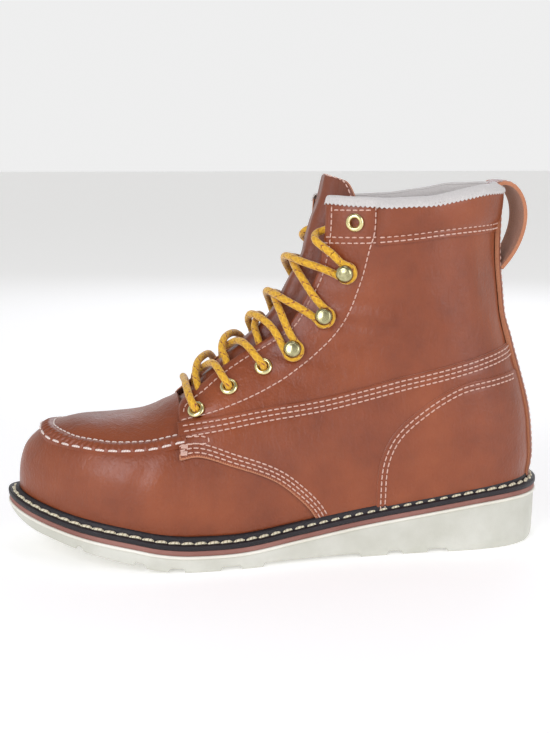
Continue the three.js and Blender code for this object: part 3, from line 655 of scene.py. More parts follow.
def leather(name, base, dark, light, roughness, grain_mm=1.5, coat=0.3):
    material, tree, shader, place = finish(name, base, roughness, Coat_Weight=coat, Coat_Roughness=0.25,
                                           Coat_IOR=1.45, Specular_IOR_Level=0.4)
    cloud = {"Vector": place, "Scale": per_metre(CLOUD_MM), "Detail": 4.0, "Roughness": 0.55}
    mottle = {"Vector": place, "Scale": per_metre(MOTTLE_MM), "Detail": 5.0, "Roughness": 0.6}
    cloudy = add_node(tree, NOISE, cloud).outputs["Fac"]
    mottled = add_node(tree, NOISE, mottle).outputs["Fac"]
    share = add_node(tree, RANGE, {"Value": cloudy, "From Min": 0.35, "From Max": 0.68}).outputs[0]
    worn = add_node(tree, MIX, {0: share, FIRST: colour(dark), SECOND: colour(light)}, data_type="RGBA")
    half_way = {"Value": mottled, "From Min": 0.3, "From Max": 0.75, "To Max": 0.55}
    share = add_node(tree, RANGE, half_way).outputs[0]
    mix = {0: share, FIRST: worn.outputs[MIXED], SECOND: colour(base)}
    tree.links.new(add_node(tree, MIX, mix, data_type="RGBA").outputs[MIXED], shader.inputs["Base Color"])
    shine = {"Value": mottled, "From Min": 0.3, "From Max": 0.7}
    shine |= {"To Min": roughness - 0.06, "To Max": roughness + 0.09}
    tree.links.new(add_node(tree, RANGE, shine).outputs[0], shader.inputs["Roughness"])
    one_way = {"Vector": place, "Scale": (1.0, 1.0, 0.3), "Rotation": (0.0, 0.35, 0.0)}
    stretched = add_node(tree, "ShaderNodeMapping", one_way).outputs["Vector"]
    fold = {"Vector": stretched, "Scale": per_metre(WRINKLE_MM), "Detail": 4.0, "Roughness": 0.62}
    fold["Distortion"] = 0.8
    wrinkle = add_node(tree, NOISE, fold).outputs["Fac"]
    wrinkled = add_node(tree, BUMP, {"Height": wrinkle, "Distance": WRINKLE_DEEP * MM}).outputs["Normal"]
    grain = {"Vector": place, "Scale": per_metre(grain_mm)}
    cells = add_node(tree, "ShaderNodeTexVoronoi", grain, feature="SMOOTH_F1").outputs["Distance"]
    pebbles = {"Height": cells, "Distance": GRAIN_DEEP * MM, "Normal": wrinkled}
    tree.links.new(add_node(tree, BUMP, pebbles).outputs["Normal"], shader.inputs["Normal"])
    return material


LEATHER = leather("waxed_leather", "#883F1C", "#743416", "#934A25", 0.4)
LEATHER_DARK = leather("waxed_leather_backstay", "#7C3C1F", "#6C3219", "#884525", 0.44)
WELT_LEATHER = leather("dark_welt_leather", "#1D171B", "#151115", "#282125", 0.5, grain_mm=0.7, coat=0.05)


# %% [markdown]
# ### Raw edges and the flesh side
#
# A cut edge of leather and the inside of the pull loop show the fibres: lighter, matt and slightly fuzzy.

# %% Raw leather
FIBRE_DEEP = 0.35


def raw_leather(name, base, dark, light):
    material, tree, shader, place = finish(name, base, 0.88, Sheen_Weight=0.25, Sheen_Roughness=0.6)
    fine = {"Vector": place, "Scale": per_metre(0.9), "Detail": 6.0, "Roughness": 0.7}
    broad = {"Vector": place, "Scale": per_metre(6.0), "Detail": 3.0, "Roughness": 0.5}
    fibres = add_node(tree, NOISE, fine).outputs["Fac"]
    patches = add_node(tree, NOISE, broad).outputs["Fac"]
    share = add_node(tree, RANGE, {"Value": fibres, "From Min": 0.3, "From Max": 0.7}).outputs[0]
    mixed = add_node(tree, MIX, {0: share, FIRST: colour(dark), SECOND: colour(light)}, data_type="RGBA")
    spread = {"Value": patches, "From Min": 0.3, "From Max": 0.7, "To Min": 0.2, "To Max": 0.7}
    mix = {0: add_node(tree, RANGE, spread).outputs[0], FIRST: mixed.outputs[MIXED], SECOND: colour(base)}
    tree.links.new(add_node(tree, MIX, mix, data_type="RGBA").outputs[MIXED], shader.inputs["Base Color"])
    fuzzy = add_node(tree, BUMP, {"Height": fibres, "Distance": FIBRE_DEEP * MM})
    tree.links.new(fuzzy.outputs["Normal"], shader.inputs["Normal"])
    return material


RAW_EDGE = raw_leather("raw_leather_edge", "#B4724E", "#9C5C3A", "#C98B66")
FLESH_SIDE = raw_leather("leather_flesh_side", "#BA7A50", "#9E603A", "#CF936A")
FOOTBED = raw_leather("footbed_leather", "#C9A27C", "#B88F68", "#D6B28E")


# %% [markdown]
# ### Rubber, cloth and brass
#
# The wedge is foamed rubber, matt and finely pitted. The lining is a brushed off-white cloth, so two waves
# cross for its weave and a fine noise gives the fuzz. Brass is polished on the eyelets and darker on the
# hooks, with cloudy tarnish on both.

# %% Rubber
def foamed_rubber(name, base, light, dark, pit_mm=0.8, roughness=0.62):
    material, tree, shader, place = finish(name, base, roughness)
    broad = {"Vector": place, "Scale": per_metre(30.0), "Detail": 4.0, "Roughness": 0.6}
    fine = {"Vector": place, "Scale": per_metre(pit_mm), "Detail": 4.0, "Roughness": 0.65}
    cloudy = add_node(tree, NOISE, broad).outputs["Fac"]
    pits = add_node(tree, NOISE, fine).outputs["Fac"]
    share = add_node(tree, RANGE, {"Value": cloudy, "From Min": 0.35, "From Max": 0.65}).outputs[0]
    mix = {0: share, FIRST: colour(light), SECOND: colour(dark)}
    tree.links.new(add_node(tree, MIX, mix, data_type="RGBA").outputs[MIXED], shader.inputs["Base Color"])
    pitted = add_node(tree, BUMP, {"Height": pits, "Distance": 0.12 * MM})
    tree.links.new(pitted.outputs["Normal"], shader.inputs["Normal"])
    return material


OUTSOLE_RUBBER = foamed_rubber("cream_foamed_rubber", "#C9C8BC", "#CECDC2", "#C0BFB2")
OUTSOLE_LIP = foamed_rubber("cream_rubber_lip", "#E2DFD2", "#E6E3D7", "#D9D5C6", 0.5, 0.5)
MIDSOLE_RUBBER = foamed_rubber("red_brown_midsole", "#8F6055", "#97695E", "#84564B", 0.6, 0.7)


# %% Cloth
BANDS_PER_SCALE = 3.2
WEAVE_DEEP = 0.2
FUZZ_DEEP = 0.15


def woven(name, base, dark, thread_mm):
    material, tree, shader, place = finish(name, base, 0.9, Sheen_Weight=0.3, Sheen_Roughness=0.5)
    wave = {"Vector": place, "Scale": per_metre(thread_mm) / BANDS_PER_SCALE, "Distortion": 0.6}
    ways = [add_node(tree, "ShaderNodeTexWave", wave, bands_direction=way).outputs["Fac"] for way in "XZ"]
    weave = add_node(tree, MATH, {0: ways[0], 1: ways[1]}, operation="MULTIPLY").outputs[0]
    fine = {"Vector": place, "Scale": per_metre(0.5), "Detail": 4.0, "Roughness": 0.7}
    fuzz = add_node(tree, NOISE, fine).outputs["Fac"]
    share = add_node(tree, RANGE, {"Value": fuzz, "From Min": 0.3, "From Max": 0.7}).outputs[0]
    mix = {0: share, FIRST: colour(dark), SECOND: colour(base)}
    tree.links.new(add_node(tree, MIX, mix, data_type="RGBA").outputs[MIXED], shader.inputs["Base Color"])
    cloth = add_node(tree, BUMP, {"Height": weave, "Distance": WEAVE_DEEP * MM}).outputs["Normal"]
    brushed = add_node(tree, BUMP, {"Height": fuzz, "Distance": FUZZ_DEEP * MM, "Normal": cloth})
    tree.links.new(brushed.outputs["Normal"], shader.inputs["Normal"])
    return material


LINING = woven("brushed_cotton_lining", "#DCD7D2", "#C6C0BB", 0.8)


# %% Brass
def metal(name, base, dark, roughness):
    material, tree, shader, place = finish(name, base, roughness, metallic=1.0)
    cloud = {"Vector": place, "Scale": per_metre(3.0), "Detail": 4.0, "Roughness": 0.6}
    tarnish = add_node(tree, NOISE, cloud).outputs["Fac"]
    share = add_node(tree, RANGE, {"Value": tarnish, "From Min": 0.4, "From Max": 0.75}).outputs[0]
    mix = {0: share, FIRST: colour(base), SECOND: colour(dark)}
    tree.links.new(add_node(tree, MIX, mix, data_type="RGBA").outputs[MIXED], shader.inputs["Base Color"])
    shine = {"Value": tarnish, "From Min": 0.3, "From Max": 0.7}
    shine |= {"To Min": roughness - 0.05, "To Max": roughness + 0.12}
    tree.links.new(add_node(tree, RANGE, shine).outputs[0], shader.inputs["Roughness"])
    return material


EYELET_BRASS = metal("polished_brass", "#E9DFA8", "#C9BC80", 0.16)
HOOK_BRASS = metal("antique_brass", "#BDB78C", "#8C8560", 0.2)


# %% [markdown]
# ### Thread and braid
#
# Meshes of thread and lace carry how far along and how far around each point lies. From those two, a
# sewing thread gets the slanted ridges of its twist, with painted shade in the grooves between them. The
# lace gets its braid: two slanted waves that cross, with painted shade where its strands dip, and with
# every fifth strand a red-brown fleck.

# %% Thread
def twisted_thread(name, base, dark, ply_mm):
    material, tree, shader, _ = finish(name, base, 0.6, Sheen_Weight=0.3)
    along = add_node(tree, "ShaderNodeUVMap", uv_map="along").outputs["UV"]
    parts = add_node(tree, "ShaderNodeSeparateXYZ", {"Vector": along}).outputs
    turns = add_node(tree, MATH, {0: parts["X"], 1: 1.0 / ply_mm}, operation="MULTIPLY").outputs[0]
    twist = add_node(tree, MATH, {0: turns, 1: parts["Y"]}, operation="ADD").outputs[0]
    saw = add_node(tree, MATH, {0: twist}, operation="FRACT").outputs[0]
    bulge = add_node(tree, MATH, {0: saw, 1: 0.5}, operation="PINGPONG").outputs[0]
    # The grooves between the plies get the darker colour: painted shade.
    share = add_node(tree, RANGE, {"Value": bulge, "From Min": 0.0, "From Max": 0.22}).outputs[0]
    mix = {0: share, FIRST: colour(dark), SECOND: colour(base)}
    tree.links.new(add_node(tree, MIX, mix, data_type="RGBA").outputs[MIXED], shader.inputs["Base Color"])
    ridged = add_node(tree, BUMP, {"Height": bulge, "Distance": 0.3 * MM})
    tree.links.new(ridged.outputs["Normal"], shader.inputs["Normal"])
    return material


# Each thread's second colour is painted shade in the grooves of its twist; the rope thread's olive is painted
# shadow between its two plies.
PANEL_THREAD = twisted_thread("bonded_panel_thread", "#DDB7A6", "#B98672", 0.9)
MOC_THREAD = twisted_thread("waxed_moc_thread", "#E6D5CB", "#BE9A8D", 1.4)
ROPE_THREAD = twisted_thread("waxed_rope_thread", "#E4DABC", "#9A8E68", 2.2)


# %% Braided lace
BRAID_MM = 4.4


def braided(name, base, fleck, edge):
    material, tree, shader, _ = finish(name, base, 0.66, Sheen_Weight=0.35, Sheen_Roughness=0.45)
    along = add_node(tree, "ShaderNodeUVMap", uv_map="along").outputs["UV"]
    parts = add_node(tree, "ShaderNodeSeparateXYZ", {"Vector": along}).outputs
    length = add_node(tree, MATH, {0: parts["X"], 1: 1.0 / BRAID_MM}, operation="MULTIPLY").outputs[0]
    around = add_node(tree, MATH, {0: parts["Y"], 1: 2.0}, operation="MULTIPLY").outputs[0]
    waves = []
    for way in ("ADD", "SUBTRACT"):
        slanted = add_node(tree, MATH, {0: length, 1: around}, operation=way).outputs[0]
        waves.append(add_node(tree, MATH, {0: slanted, 1: 0.5}, operation="PINGPONG").outputs[0])
    braid = add_node(tree, MATH, {0: waves[0], 1: waves[1]}, operation="MAXIMUM").outputs[0]
    crossing = add_node(tree, MATH, {0: waves[0], 1: waves[1]}, operation="MULTIPLY").outputs[0]
    slow = add_node(tree, MATH, {0: length, 1: 0.5}, operation="MULTIPLY").outputs[0]
    strand = add_node(tree, MATH, {0: slow, 1: parts["Y"]}, operation="ADD").outputs[0]
    picked = add_node(tree, MATH, {0: strand}, operation="FRACT").outputs[0]
    is_fleck = add_node(tree, RANGE, {"Value": picked, "From Min": 0.78, "From Max": 0.82}).outputs[0]
    cell = add_node(tree, RANGE, {"Value": crossing, "From Min": 0.02, "From Max": 0.09}).outputs[0]
    fleck_here = add_node(tree, MATH, {0: is_fleck, 1: cell}, operation="MULTIPLY").outputs[0]
    # Low parts of the braid, where the strands dip under each other, get the darker yellow: painted shade.
    share = add_node(tree, RANGE, {"Value": braid, "From Min": 0.25, "From Max": 0.5}).outputs[0]
    yarn = add_node(tree, MIX, {0: share, FIRST: colour(edge), SECOND: colour(base)}, data_type="RGBA")
    mix = {0: fleck_here, FIRST: yarn.outputs[MIXED], SECOND: colour(fleck)}
    tree.links.new(add_node(tree, MIX, mix, data_type="RGBA").outputs[MIXED], shader.inputs["Base Color"])
    ridged = add_node(tree, BUMP, {"Height": braid, "Distance": 0.5 * MM})
    tree.links.new(ridged.outputs["Normal"], shader.inputs["Normal"])
    return material


# The darker yellow, the third colour, is painted shade between the strands; the red-brown fleck is dyed yarn.
LACE_BRAID = braided("polyester_braid", "#E6B31E", "#8E4526", "#CF981A")

# %% [markdown]
# ## The wedge sole
#
# Outsole, midsole, welt and footbed are all one kind of shape: rings that follow the sole's outline, each
# ring a little further in or further up than the last. Stations along the boot are closer together at the
# round ends and at every lug, so the notches come out crisp.

# %% Stations round the outline
LUG_DEEP = 2.0
LUG_SLOPE = 1.2
GROOVES = table("""
from    to
0.2     0.24
0.285   0.315
0.364   0.545
0.583   0.622
0.685   0.714
0.753   0.776
0.863   0.878
""")
STATION_COUNT = 150
STATION_CLEAR = 0.0016
BOOT_END = 0.01

round_shares = 0.5 - 0.5 * np.cos(np.linspace(0, math.pi, STATION_COUNT))
slope_share = LUG_SLOPE / SOLE_LENGTH
starts, ends = GROOVES["from"], GROOVES["to"]
corner_shares = np.concatenate([starts, starts + slope_share, ends - slope_share, ends])
kept = np.abs(round_shares[:, None] - corner_shares[None, :]).min(axis=1) > STATION_CLEAR
kept |= (round_shares < BOOT_END) | (round_shares > 1 - BOOT_END)
stations = np.sort(np.concatenate([round_shares[kept], corner_shares]))
outer_count = len(stations)
RING_COUNT = 2 * outer_count - 2
print("stations along the sole:", outer_count)


def full_ring(outer, inner):
    """Closed ring from values on the outer side, heel to toe, and back along the inner side."""
    return np.concatenate([outer, inner[-2:0:-1]])


def ring_of(x, centre, half, inset):
    """A closed ring of (x, y) round a plan, moved in by inset."""
    ring = np.stack([full_ring(x, x), full_ring(centre - half, centre + half)], axis=-1)
    along = unit(np.roll(ring, -1, axis=0) - np.roll(ring, 1, axis=0))
    return ring + np.stack([along[:, 1], -along[:, 0]], axis=-1) * inset


def plan_ring(inset):
    """The sole's outline, moved in by inset."""
    centre, half = sole_outline(stations)
    return ring_of(along_sole(stations), centre, half, inset)


def foot_ring(outset):
    """The upper's foot, moved out by outset."""
    heel, toe = backline(0.0), along_sole(UPPER_TOE)
    centre, half = sole_outline(stations)
    return ring_of(heel + (toe - heel) * stations, centre, half * FOOT_SHARE, -outset)


def at_height(ring, height):
    return np.column_stack([ring, np.broadcast_to(height, len(ring))])


def groove_depth(x):
    """How far the tread is cut up at each place along the sole."""
    share = share_at(x)
    depth = np.zeros_like(share)
    for start, end in zip(GROOVES["from"], GROOVES["to"]):
        rise = np.minimum((share - start) / slope_share, (end - share) / slope_share)
        depth = np.maximum(depth, LUG_DEEP * np.clip(rise, 0, 1))
    return depth


# %% [markdown]
# ### Outsole
#
# On the real boot this is one moulding of cream foamed rubber. From the top down its side has a proud lip,
# a shallow step under it, a plain wall that leans in slightly, and low lugs. Its underside has fine
# ripples between the lugs for grip.

# %% Outsole
LIP_REACH = 0.8
LIP_THICK = 1.7
RIPPLE_PITCH = 5.6
RIPPLE_DEEP = 0.55
BOTTOM_COLUMNS = 15
LIP_RINGS = range(1, 6)


def outsole_rings():
    """Rings from the top's inner edge over the lip and down to the tread, each (inset, height)."""
    x = plan_ring(0.0)[:, 0]
    top, ground = outsole_top(x), outsole_bottom(x) + groove_depth(x)
    tall = top - ground
    steps = [
        (14.0, top),
        (0.9, top),
        (0.25, top - 0.12),
        (0.0, top - 0.55),
        (0.0, top - LIP_THICK + 0.4),
        (0.3, top - LIP_THICK + 0.05),
        (LIP_REACH + 0.35, top - LIP_THICK - 0.1),
        (LIP_REACH + 0.15, top - LIP_THICK - 0.7),
        (LIP_REACH + 0.2, top - 0.45 * tall),
        (LIP_REACH + 0.45, ground + 0.22 * tall),
        (LIP_REACH + 0.7, ground + np.minimum(0.9, 0.2 * tall)),
        (LIP_REACH + 1.1, ground + np.minimum(0.25, 0.08 * tall)),
        (LIP_REACH + 1.7, ground),
    ]
    return [at_height(plan_ring(inset), height) for inset, height in steps]


def ripple_at(x, y, share):
    """Fine waves across the tread. They die out toward both sides and stay out of the grooves."""
    wave = 0.5 - 0.5 * math.cos(2 * math.pi * (x + 3.0 * math.sin(y / 9.0)) / RIPPLE_PITCH)
    edge = min(share, 1 - share) * 2
    return 0.0 if groove_depth(x) > 0.5 * LUG_DEEP else RIPPLE_DEEP * wave * min(1.0, 3 * edge)


def outsole():
    rings = outsole_rings()
    points = list(np.vstack(rings))
    faces = grid_faces(len(rings), RING_COUNT, wrap_columns=True)
    marks = [1 if row in LIP_RINGS else 0 for row in range(len(rings) - 1) for _ in range(RING_COUNT)]
    last = (len(rings) - 1) * RING_COUNT

    def two_sides(first):
        """The outer side of a ring, heel to toe, and its inner side."""
        inner = [first + RING_COUNT - i for i in range(1, outer_count - 1)]
        return [first + i for i in range(outer_count)], [first] + inner + [first + outer_count - 1]

    outer, inner = two_sides(last)
    columns = [outer]
    for share in np.arange(1, BOTTOM_COLUMNS) / BOTTOM_COLUMNS:
        indices = [outer[0]]
        for i in range(1, outer_count - 1):
            point = points[outer[i]] * (1 - share) + points[inner[i]] * share
            ground = outsole_bottom(point[0]) + groove_depth(point[0])
            point[2] = ground + ripple_at(point[0], point[1], share)
            indices.append(len(points))
            points.append(point)
        columns.append(indices + [outer[-1]])
    columns.append(inner)
    for left, right in [*zip(columns[:-1], columns[1:]), two_sides(0)[::-1]]:
        for i in range(outer_count - 1):
            face = tuple(dict.fromkeys([left[i], left[i + 1], right[i + 1], right[i]]))
            if len(face) > 2:
                faces.append(face)
                marks.append(0)
    rubbers = [OUTSOLE_RUBBER, OUTSOLE_LIP]
    return make_piece("wedge_outsole", points, faces, rubbers, ["outsole"], marks)


outsole()


# %% [markdown]
# ### Midsole, welt and footbed
#
# The midsole is a thin slab of reddish rubber. The welt is a dark strip of leather with a flat shelf for
# the rope stitching and a raised lip, a storm welt, that hugs the upper and keeps water out.

# %% Midsole, welt and footbed
WELT_LIP_THICK = 2.6
HIDDEN_INSET = 26.0
HAIR = 0.02  # layers that lie on each other stay this far apart


def ring_band(name, steps, material, replaced):
    """A closed band of rings; each step is a ring of points, and the last joins the first."""
    faces = grid_faces(len(steps), RING_COUNT, wrap_rows=True, wrap_columns=True)
    return make_piece(name, np.vstack(steps), faces, [material], [replaced])


def sole_ring(inset, height_function, extra=0.0):
    """A ring that follows the sole's outline at the height of one of its layers."""
    ring = plan_ring(inset)
    return at_height(ring, height_function(ring[:, 0]) + extra)


def midsole():
    steps = [
        (HIDDEN_INSET, midsole_top),
        (1.1, midsole_top),
        (0.65, midsole_top, -0.25),
        (0.55, midsole_top, -0.5 * MIDSOLE_THICK),
        (0.65, outsole_top, HAIR + 0.3),
        (1.0, outsole_top, HAIR),
        (HIDDEN_INSET, outsole_top, HAIR),
    ]
    rings = [sole_ring(*step) for step in steps]
    return ring_band("red_brown_midsole", rings, MIDSOLE_RUBBER, "midsole")


def welt():
    """The lip hugs the upper's foot, and the shelf follows the sole."""
    top = welt_top(foot_ring(0.0)[:, 0])
    lip = [
        (-6.0, 0.0),
        (-0.6, LIP_TALL - 0.2),
        (0.45, LIP_TALL - 0.1),
        (1.0, LIP_TALL + 0.15),
        (1.7, LIP_TALL - 0.1),
        (WELT_LIP_THICK - 0.2, LIP_TALL - 0.9),
        (WELT_LIP_THICK + 0.1, 0.9),
        (WELT_LIP_THICK + 0.35, 0.05),
    ]
    shelf = [
        (3.2, welt_top, -0.15),
        (2.2, welt_top, 0.12),
        (0.9, welt_top, 0.1),
        (0.2, welt_top, -0.35),
        (0.05, welt_top, -0.5 * WELT_THICK),
        (0.15, midsole_top, HAIR + 0.35),
        (0.6, midsole_top, HAIR),
        (HIDDEN_INSET, midsole_top, HAIR),
    ]
    steps = [at_height(foot_ring(outset), top + rise) for outset, rise in lip]
    steps += [sole_ring(*step) for step in shelf]
    return ring_band("storm_welt", steps, WELT_LEATHER, "welt")


def footbed():
    """A slab with a rounded edge that is a little raised in the middle."""
    base = rim(foot_ring(0.0)[:, 0])
    top = [(2.6, 0.9), (3.2, 0.2), (5.0, 0.0), (14.0, -0.5), (30.0, -0.8)]
    steps = [at_height(foot_ring(-inset), base + INSOLE_THICK - drop) for inset, drop in top]
    steps += [at_height(foot_ring(-inset), base + 0.1) for inset in (30.0, 2.6)]
    return ring_band("leather_footbed", steps, FOOTBED, "insole")


midsole()
welt()
footbed()


# %% [markdown]
# ## The upper's body
#
# Under all the panels lies one closed body: the toe and vamp at the front, and the hidden layer that the
# shaft is built on. It is a grid in two parts, in front of the throat and on its two sides, so that the
# throat's edge is crisp. Its inside face is the cloth lining.

# %% Lines of the side view
def side_line(text):
    """A line of the side view, written as shares along and up the boot, as smooth points in millimetres."""
    rows = table(text)
    return curve_through(np.column_stack([along_sole(rows["at"]), height_of(rows["height"])]))


def curve_through(points, step=1.0):
    """A smooth curve through points, sampled at even steps."""
    points = np.asarray(points, float)
    reach = reach_of(points)
    read = smooth_reader(reach, dict(enumerate(points.T)))
    return even_points(np.column_stack(list(read(np.linspace(0, reach[-1], 8 * len(points))).values())), step)


def along_line(points, reach, places):
    """Points of a line at given distances along it."""
    return np.column_stack([np.interp(places, reach, column) for column in points.T])


def even_points(points, step):
    """The same line with points an even distance apart."""
    reach = reach_of(points)
    count = max(2, int(round(reach[-1] / step)) + 1)
    return along_line(points, reach, np.linspace(0, reach[-1], count))


COLLAR_LINE = side_line("""
at      height
0.4205  0.98
0.337   0.975
0.265   0.977
0.214   0.988
0.159   1.003
0.09    1.012
0.05    1.012
""")
THROAT = table("""
turn   around
8.38   0.197
9.51   0.151
10.32  0.138
11.44  0.153
12.4   0.178
13.95  0.195
15.61  0.176
17.18  0.178
19.11  0.182
21.95  0.154
24.0   0.06
""")
throat_at = smooth_reader(THROAT["turn"], THROAT)
THROAT_TURN = THROAT["turn"][0]


def collar_height(x):
    order = np.argsort(COLLAR_LINE[:, 0])
    return np.interp(x, COLLAR_LINE[order, 0], COLLAR_LINE[order, 1])


def solve(low, high, past):
    """Where a rising test turns true, for many places at once."""
    low, high = np.asarray(low, float).copy(), np.asarray(high, float).copy()
    for _ in range(34):
        middle = (low + high) / 2
        done = past(middle)
        low, high = np.where(done, low, middle), np.where(done, middle, high)
    return (low + high) / 2


def foot_around(turn):
    """How far down the side the section reaches before it meets the welt."""

    def under(around):
        points = skin(turn, around)
        return points[..., 2] < rim(points[..., 0]) - 0.5

    return solve(np.full_like(turn, 0.3), np.ones_like(turn), under)


# %% The body
FRONT_ROWS = 74
FRONT_COLUMNS = 60
RIDGE_COLUMNS = 18
SHAFT_ROWS = 84
SHAFT_COLUMNS = 52
BODY_THICK = 2.0
BODY_SINK = 0.55
COLLAR_TURN = 19.0  # every section above this one may reach the collar
WELD = 0.02


def front_grid():
    """The toe and vamp: from the outer foot over the ridge to the inner foot."""
    turn = THROAT_TURN * (np.linspace(0, 1, FRONT_ROWS) ** 1.15)
    edge, foot = np.full(FRONT_ROWS, THROAT["around"][0]), foot_around(turn)
    side = np.linspace(0, 1, FRONT_COLUMNS)
    outer = foot[:, None] + (edge - foot)[:, None] * side[None, :]
    ridge = edge[:, None] * np.linspace(-1, 1, RIDGE_COLUMNS + 2)[None, 1:-1]
    around = np.concatenate([-outer, ridge, outer[:, ::-1]], axis=1)
    return np.broadcast_to(turn[:, None], around.shape), around


def shaft_grid(sign):
    """One side of the shaft: from the throat's edge back to the heel, and up to the collar."""
    side = np.linspace(0, 1, SHAFT_COLUMNS)

    def around_at(turn):
        foot = foot_around(turn)
        edge = throat_at(turn)["around"]
        return edge + (foot - edge) * side

    def above(turn):
        points = skin(turn, around_at(turn))
        return points[..., 2] > collar_height(points[..., 0]) - 0.4

    top = solve(np.full(SHAFT_COLUMNS, COLLAR_TURN), np.full(SHAFT_COLUMNS, float(LAST_TURN)), above)
    rise = np.linspace(0, 1, SHAFT_ROWS)
    turn = THROAT_TURN + (top[None, :] - THROAT_TURN) * rise[:, None]
    foot = np.stack([foot_around(row) for row in turn])
    edge = throat_at(turn)["around"]
    return turn, sign * (edge + (foot - edge) * side[None, :])


def sunk_under_panels(points):
    """The body sits a little deeper where panels cover it."""
    return -BODY_SINK * smooth_step(points[..., 0], -66.0, -60.0)


def grid_keys(points):
    return np.round(points / WELD).astype(np.int64)


def merged(points, faces):
    """The same faces with points that lie on each other made one."""
    _, first, index = np.unique(grid_keys(points), axis=0, return_index=True, return_inverse=True)
    index = index.ravel()
    kept = [tuple(dict.fromkeys(int(index[i]) for i in face)) for face in faces]
    return points[first], [face for face in kept if len(face) > 2]


def body():
    outer, inner, faces, start = [], [], [], 0
    for number, (turn, around) in enumerate([front_grid(), shaft_grid(-1), shaft_grid(1)]):
        lift = sunk_under_panels(skin(turn, around))
        outer.append(seat(turn, around, lift)[0].reshape(-1, 3))
        inner.append(seat(turn, around, lift - BODY_THICK)[0].reshape(-1, 3))
        part = grid_faces(*turn.shape, first=start)
        faces += [face[::-1] for face in part] if number == 1 else part
        start += turn.size
    outer, inner = np.vstack(outer), np.vstack(inner)
    points, faces = merged(outer, faces)
    places = {tuple(key): index for index, key in enumerate(grid_keys(points))}
    back = np.zeros(len(points), int)
    for index, key in enumerate(grid_keys(outer)):
        back[places.get(tuple(key), 0)] = index
    points, faces, marks = thickened(points, inner[back], faces, (0, 1, 2))
    return make_piece("upper_body", points, faces, [LEATHER, LINING, RAW_EDGE], ["upper"], marks)


body()


# %% [markdown]
# ## Leather panels
#
# Each panel is cut flat and pulled over the body, so here it is drawn flat in the side view, filled with
# triangles, and laid on the body. The edge is rolled down a little, and the side of the cut shows raw
# leather. Stitching pulls the leather down, so a shallow channel follows every row of stitches.

# %% Cutting a panel
def inside_outline(points, outline):
    """Which points lie inside a closed outline."""
    x, z = points[:, :1], points[:, 1:2]
    ax, az = outline[None, :, 0], outline[None, :, 1]
    bx, bz = np.roll(ax, -1, axis=1), np.roll(az, -1, axis=1)
    crosses = (az > z) != (bz > z)
    at = ax + (z - az) * (bx - ax) / np.where(bz == az, 1e-9, bz - az)
    return (np.sum(crosses & (x < at), axis=1) % 2) == 1


def distance_to_line(points, line, closed=False):
    """How far each point of the side view is from a line."""
    a = np.asarray(line, float)
    b = np.roll(a, -1, axis=0) if closed else a[1:]
    a = a if closed else a[:-1]
    found = np.full(len(points), 1e9)
    for start in range(0, len(a), 60):
        p, q = a[None, start : start + 60], b[None, start : start + 60]
        d = q - p
        long = np.maximum(np.sum(d * d, axis=2), 1e-9)
        share = np.clip(np.sum((points[:, None] - p) * d, axis=2) / long, 0, 1)
        gap = points[:, None] - p - d * share[..., None]
        found = np.minimum(found, np.sqrt(np.sum(gap**2, axis=2)).min(axis=1))
    return found


PANEL_GRID = 2.4
OUTLINE_STEP = 1.3
BESIDE_ROW = (-1.1, -0.45, 0.45, 1.1)
HOLE_SIDES = 20
EDGE_ROLL = 0.5
EDGE_ROLL_WIDE = 1.0
CHANNEL_DEEP = 0.3
CHANNEL_WIDE = 0.8
RAW_WIDE = 0.8


def panel_points(outline, rows):
    """Outline points first, then rings close to the edge, lines beside each stitch row, and an even fill."""
    low, high = outline.min(axis=0) - 3, outline.max(axis=0) + 3
    xs = np.arange(low[0], high[0], PANEL_GRID)
    zs = np.arange(low[1], high[1], PANEL_GRID * 0.866)
    fill = np.array([(x + (0.5 * PANEL_GRID if k % 2 else 0.0), z) for k, z in enumerate(zs) for x in xs])
    fill = fill[inside_outline(fill, outline)]
    fill = fill[distance_to_line(fill, outline, True) > 2.0]
    along = np.roll(outline, -1, axis=0) - np.roll(outline, 1, axis=0)
    normal = unit(np.column_stack([-along[:, 1], along[:, 0]]))
    x, z = outline.T
    turns_left = np.sum(x * np.roll(z, -1) - np.roll(x, -1) * z) > 0
    normal = normal if turns_left else -normal
    near = [outline + normal * 0.4, outline + normal * 1.05]
    beside = []
    for row in rows:
        line = even_points(row, OUTLINE_STEP)
        slope = unit(np.gradient(line, axis=0))
        across = np.column_stack([-slope[:, 1], slope[:, 0]])
        beside += [line + across * offset for offset in BESIDE_ROW]
        fill = fill[distance_to_line(fill, line) > 1.7]
    extra = np.vstack(near + beside) if beside else np.vstack(near)
    extra = extra[inside_outline(extra, outline)]
    extra = extra[distance_to_line(extra, outline, True) > 0.3]
    keys = np.round(extra / 0.4).astype(int)
    _, keep = np.unique(keys, axis=0, return_index=True)
    return np.vstack([outline, extra[np.sort(keep)], fill])


def panel_triangles(outline, rows, holes):
    """The flat panel: its outline and stitch rows filled with triangles, and its round holes cut out."""
    flat = panel_points(outline, rows)
    angles = np.linspace(0, 2 * math.pi, HOLE_SIDES, endpoint=False)
    for x, z, radius in holes:
        clear = np.hypot(flat[:, 0] - x, flat[:, 1] - z) > radius + 0.6
        flat = flat[(np.arange(len(flat)) < len(outline)) | clear]
        flat = np.vstack([flat, np.column_stack([x + radius * np.cos(angles), z + radius * np.sin(angles)])])
    edges = [(i, (i + 1) % len(outline)) for i in range(len(outline))]
    result = delaunay_2d_cdt([Vector(point) for point in flat], edges, [], 0, 1e-5)
    flat = np.array([tuple(point) for point in result[0]])
    triangles = np.array([tuple(face) for face in result[2]])
    middles = flat[triangles].mean(axis=1)
    keep = inside_outline(middles, outline)
    for x, z, radius in holes:
        keep &= np.hypot(middles[:, 0] - x, middles[:, 1] - z) > radius * 0.97
    used, triangles = np.unique(triangles[keep], return_inverse=True)
    return flat[used], triangles.reshape(-1, 3)


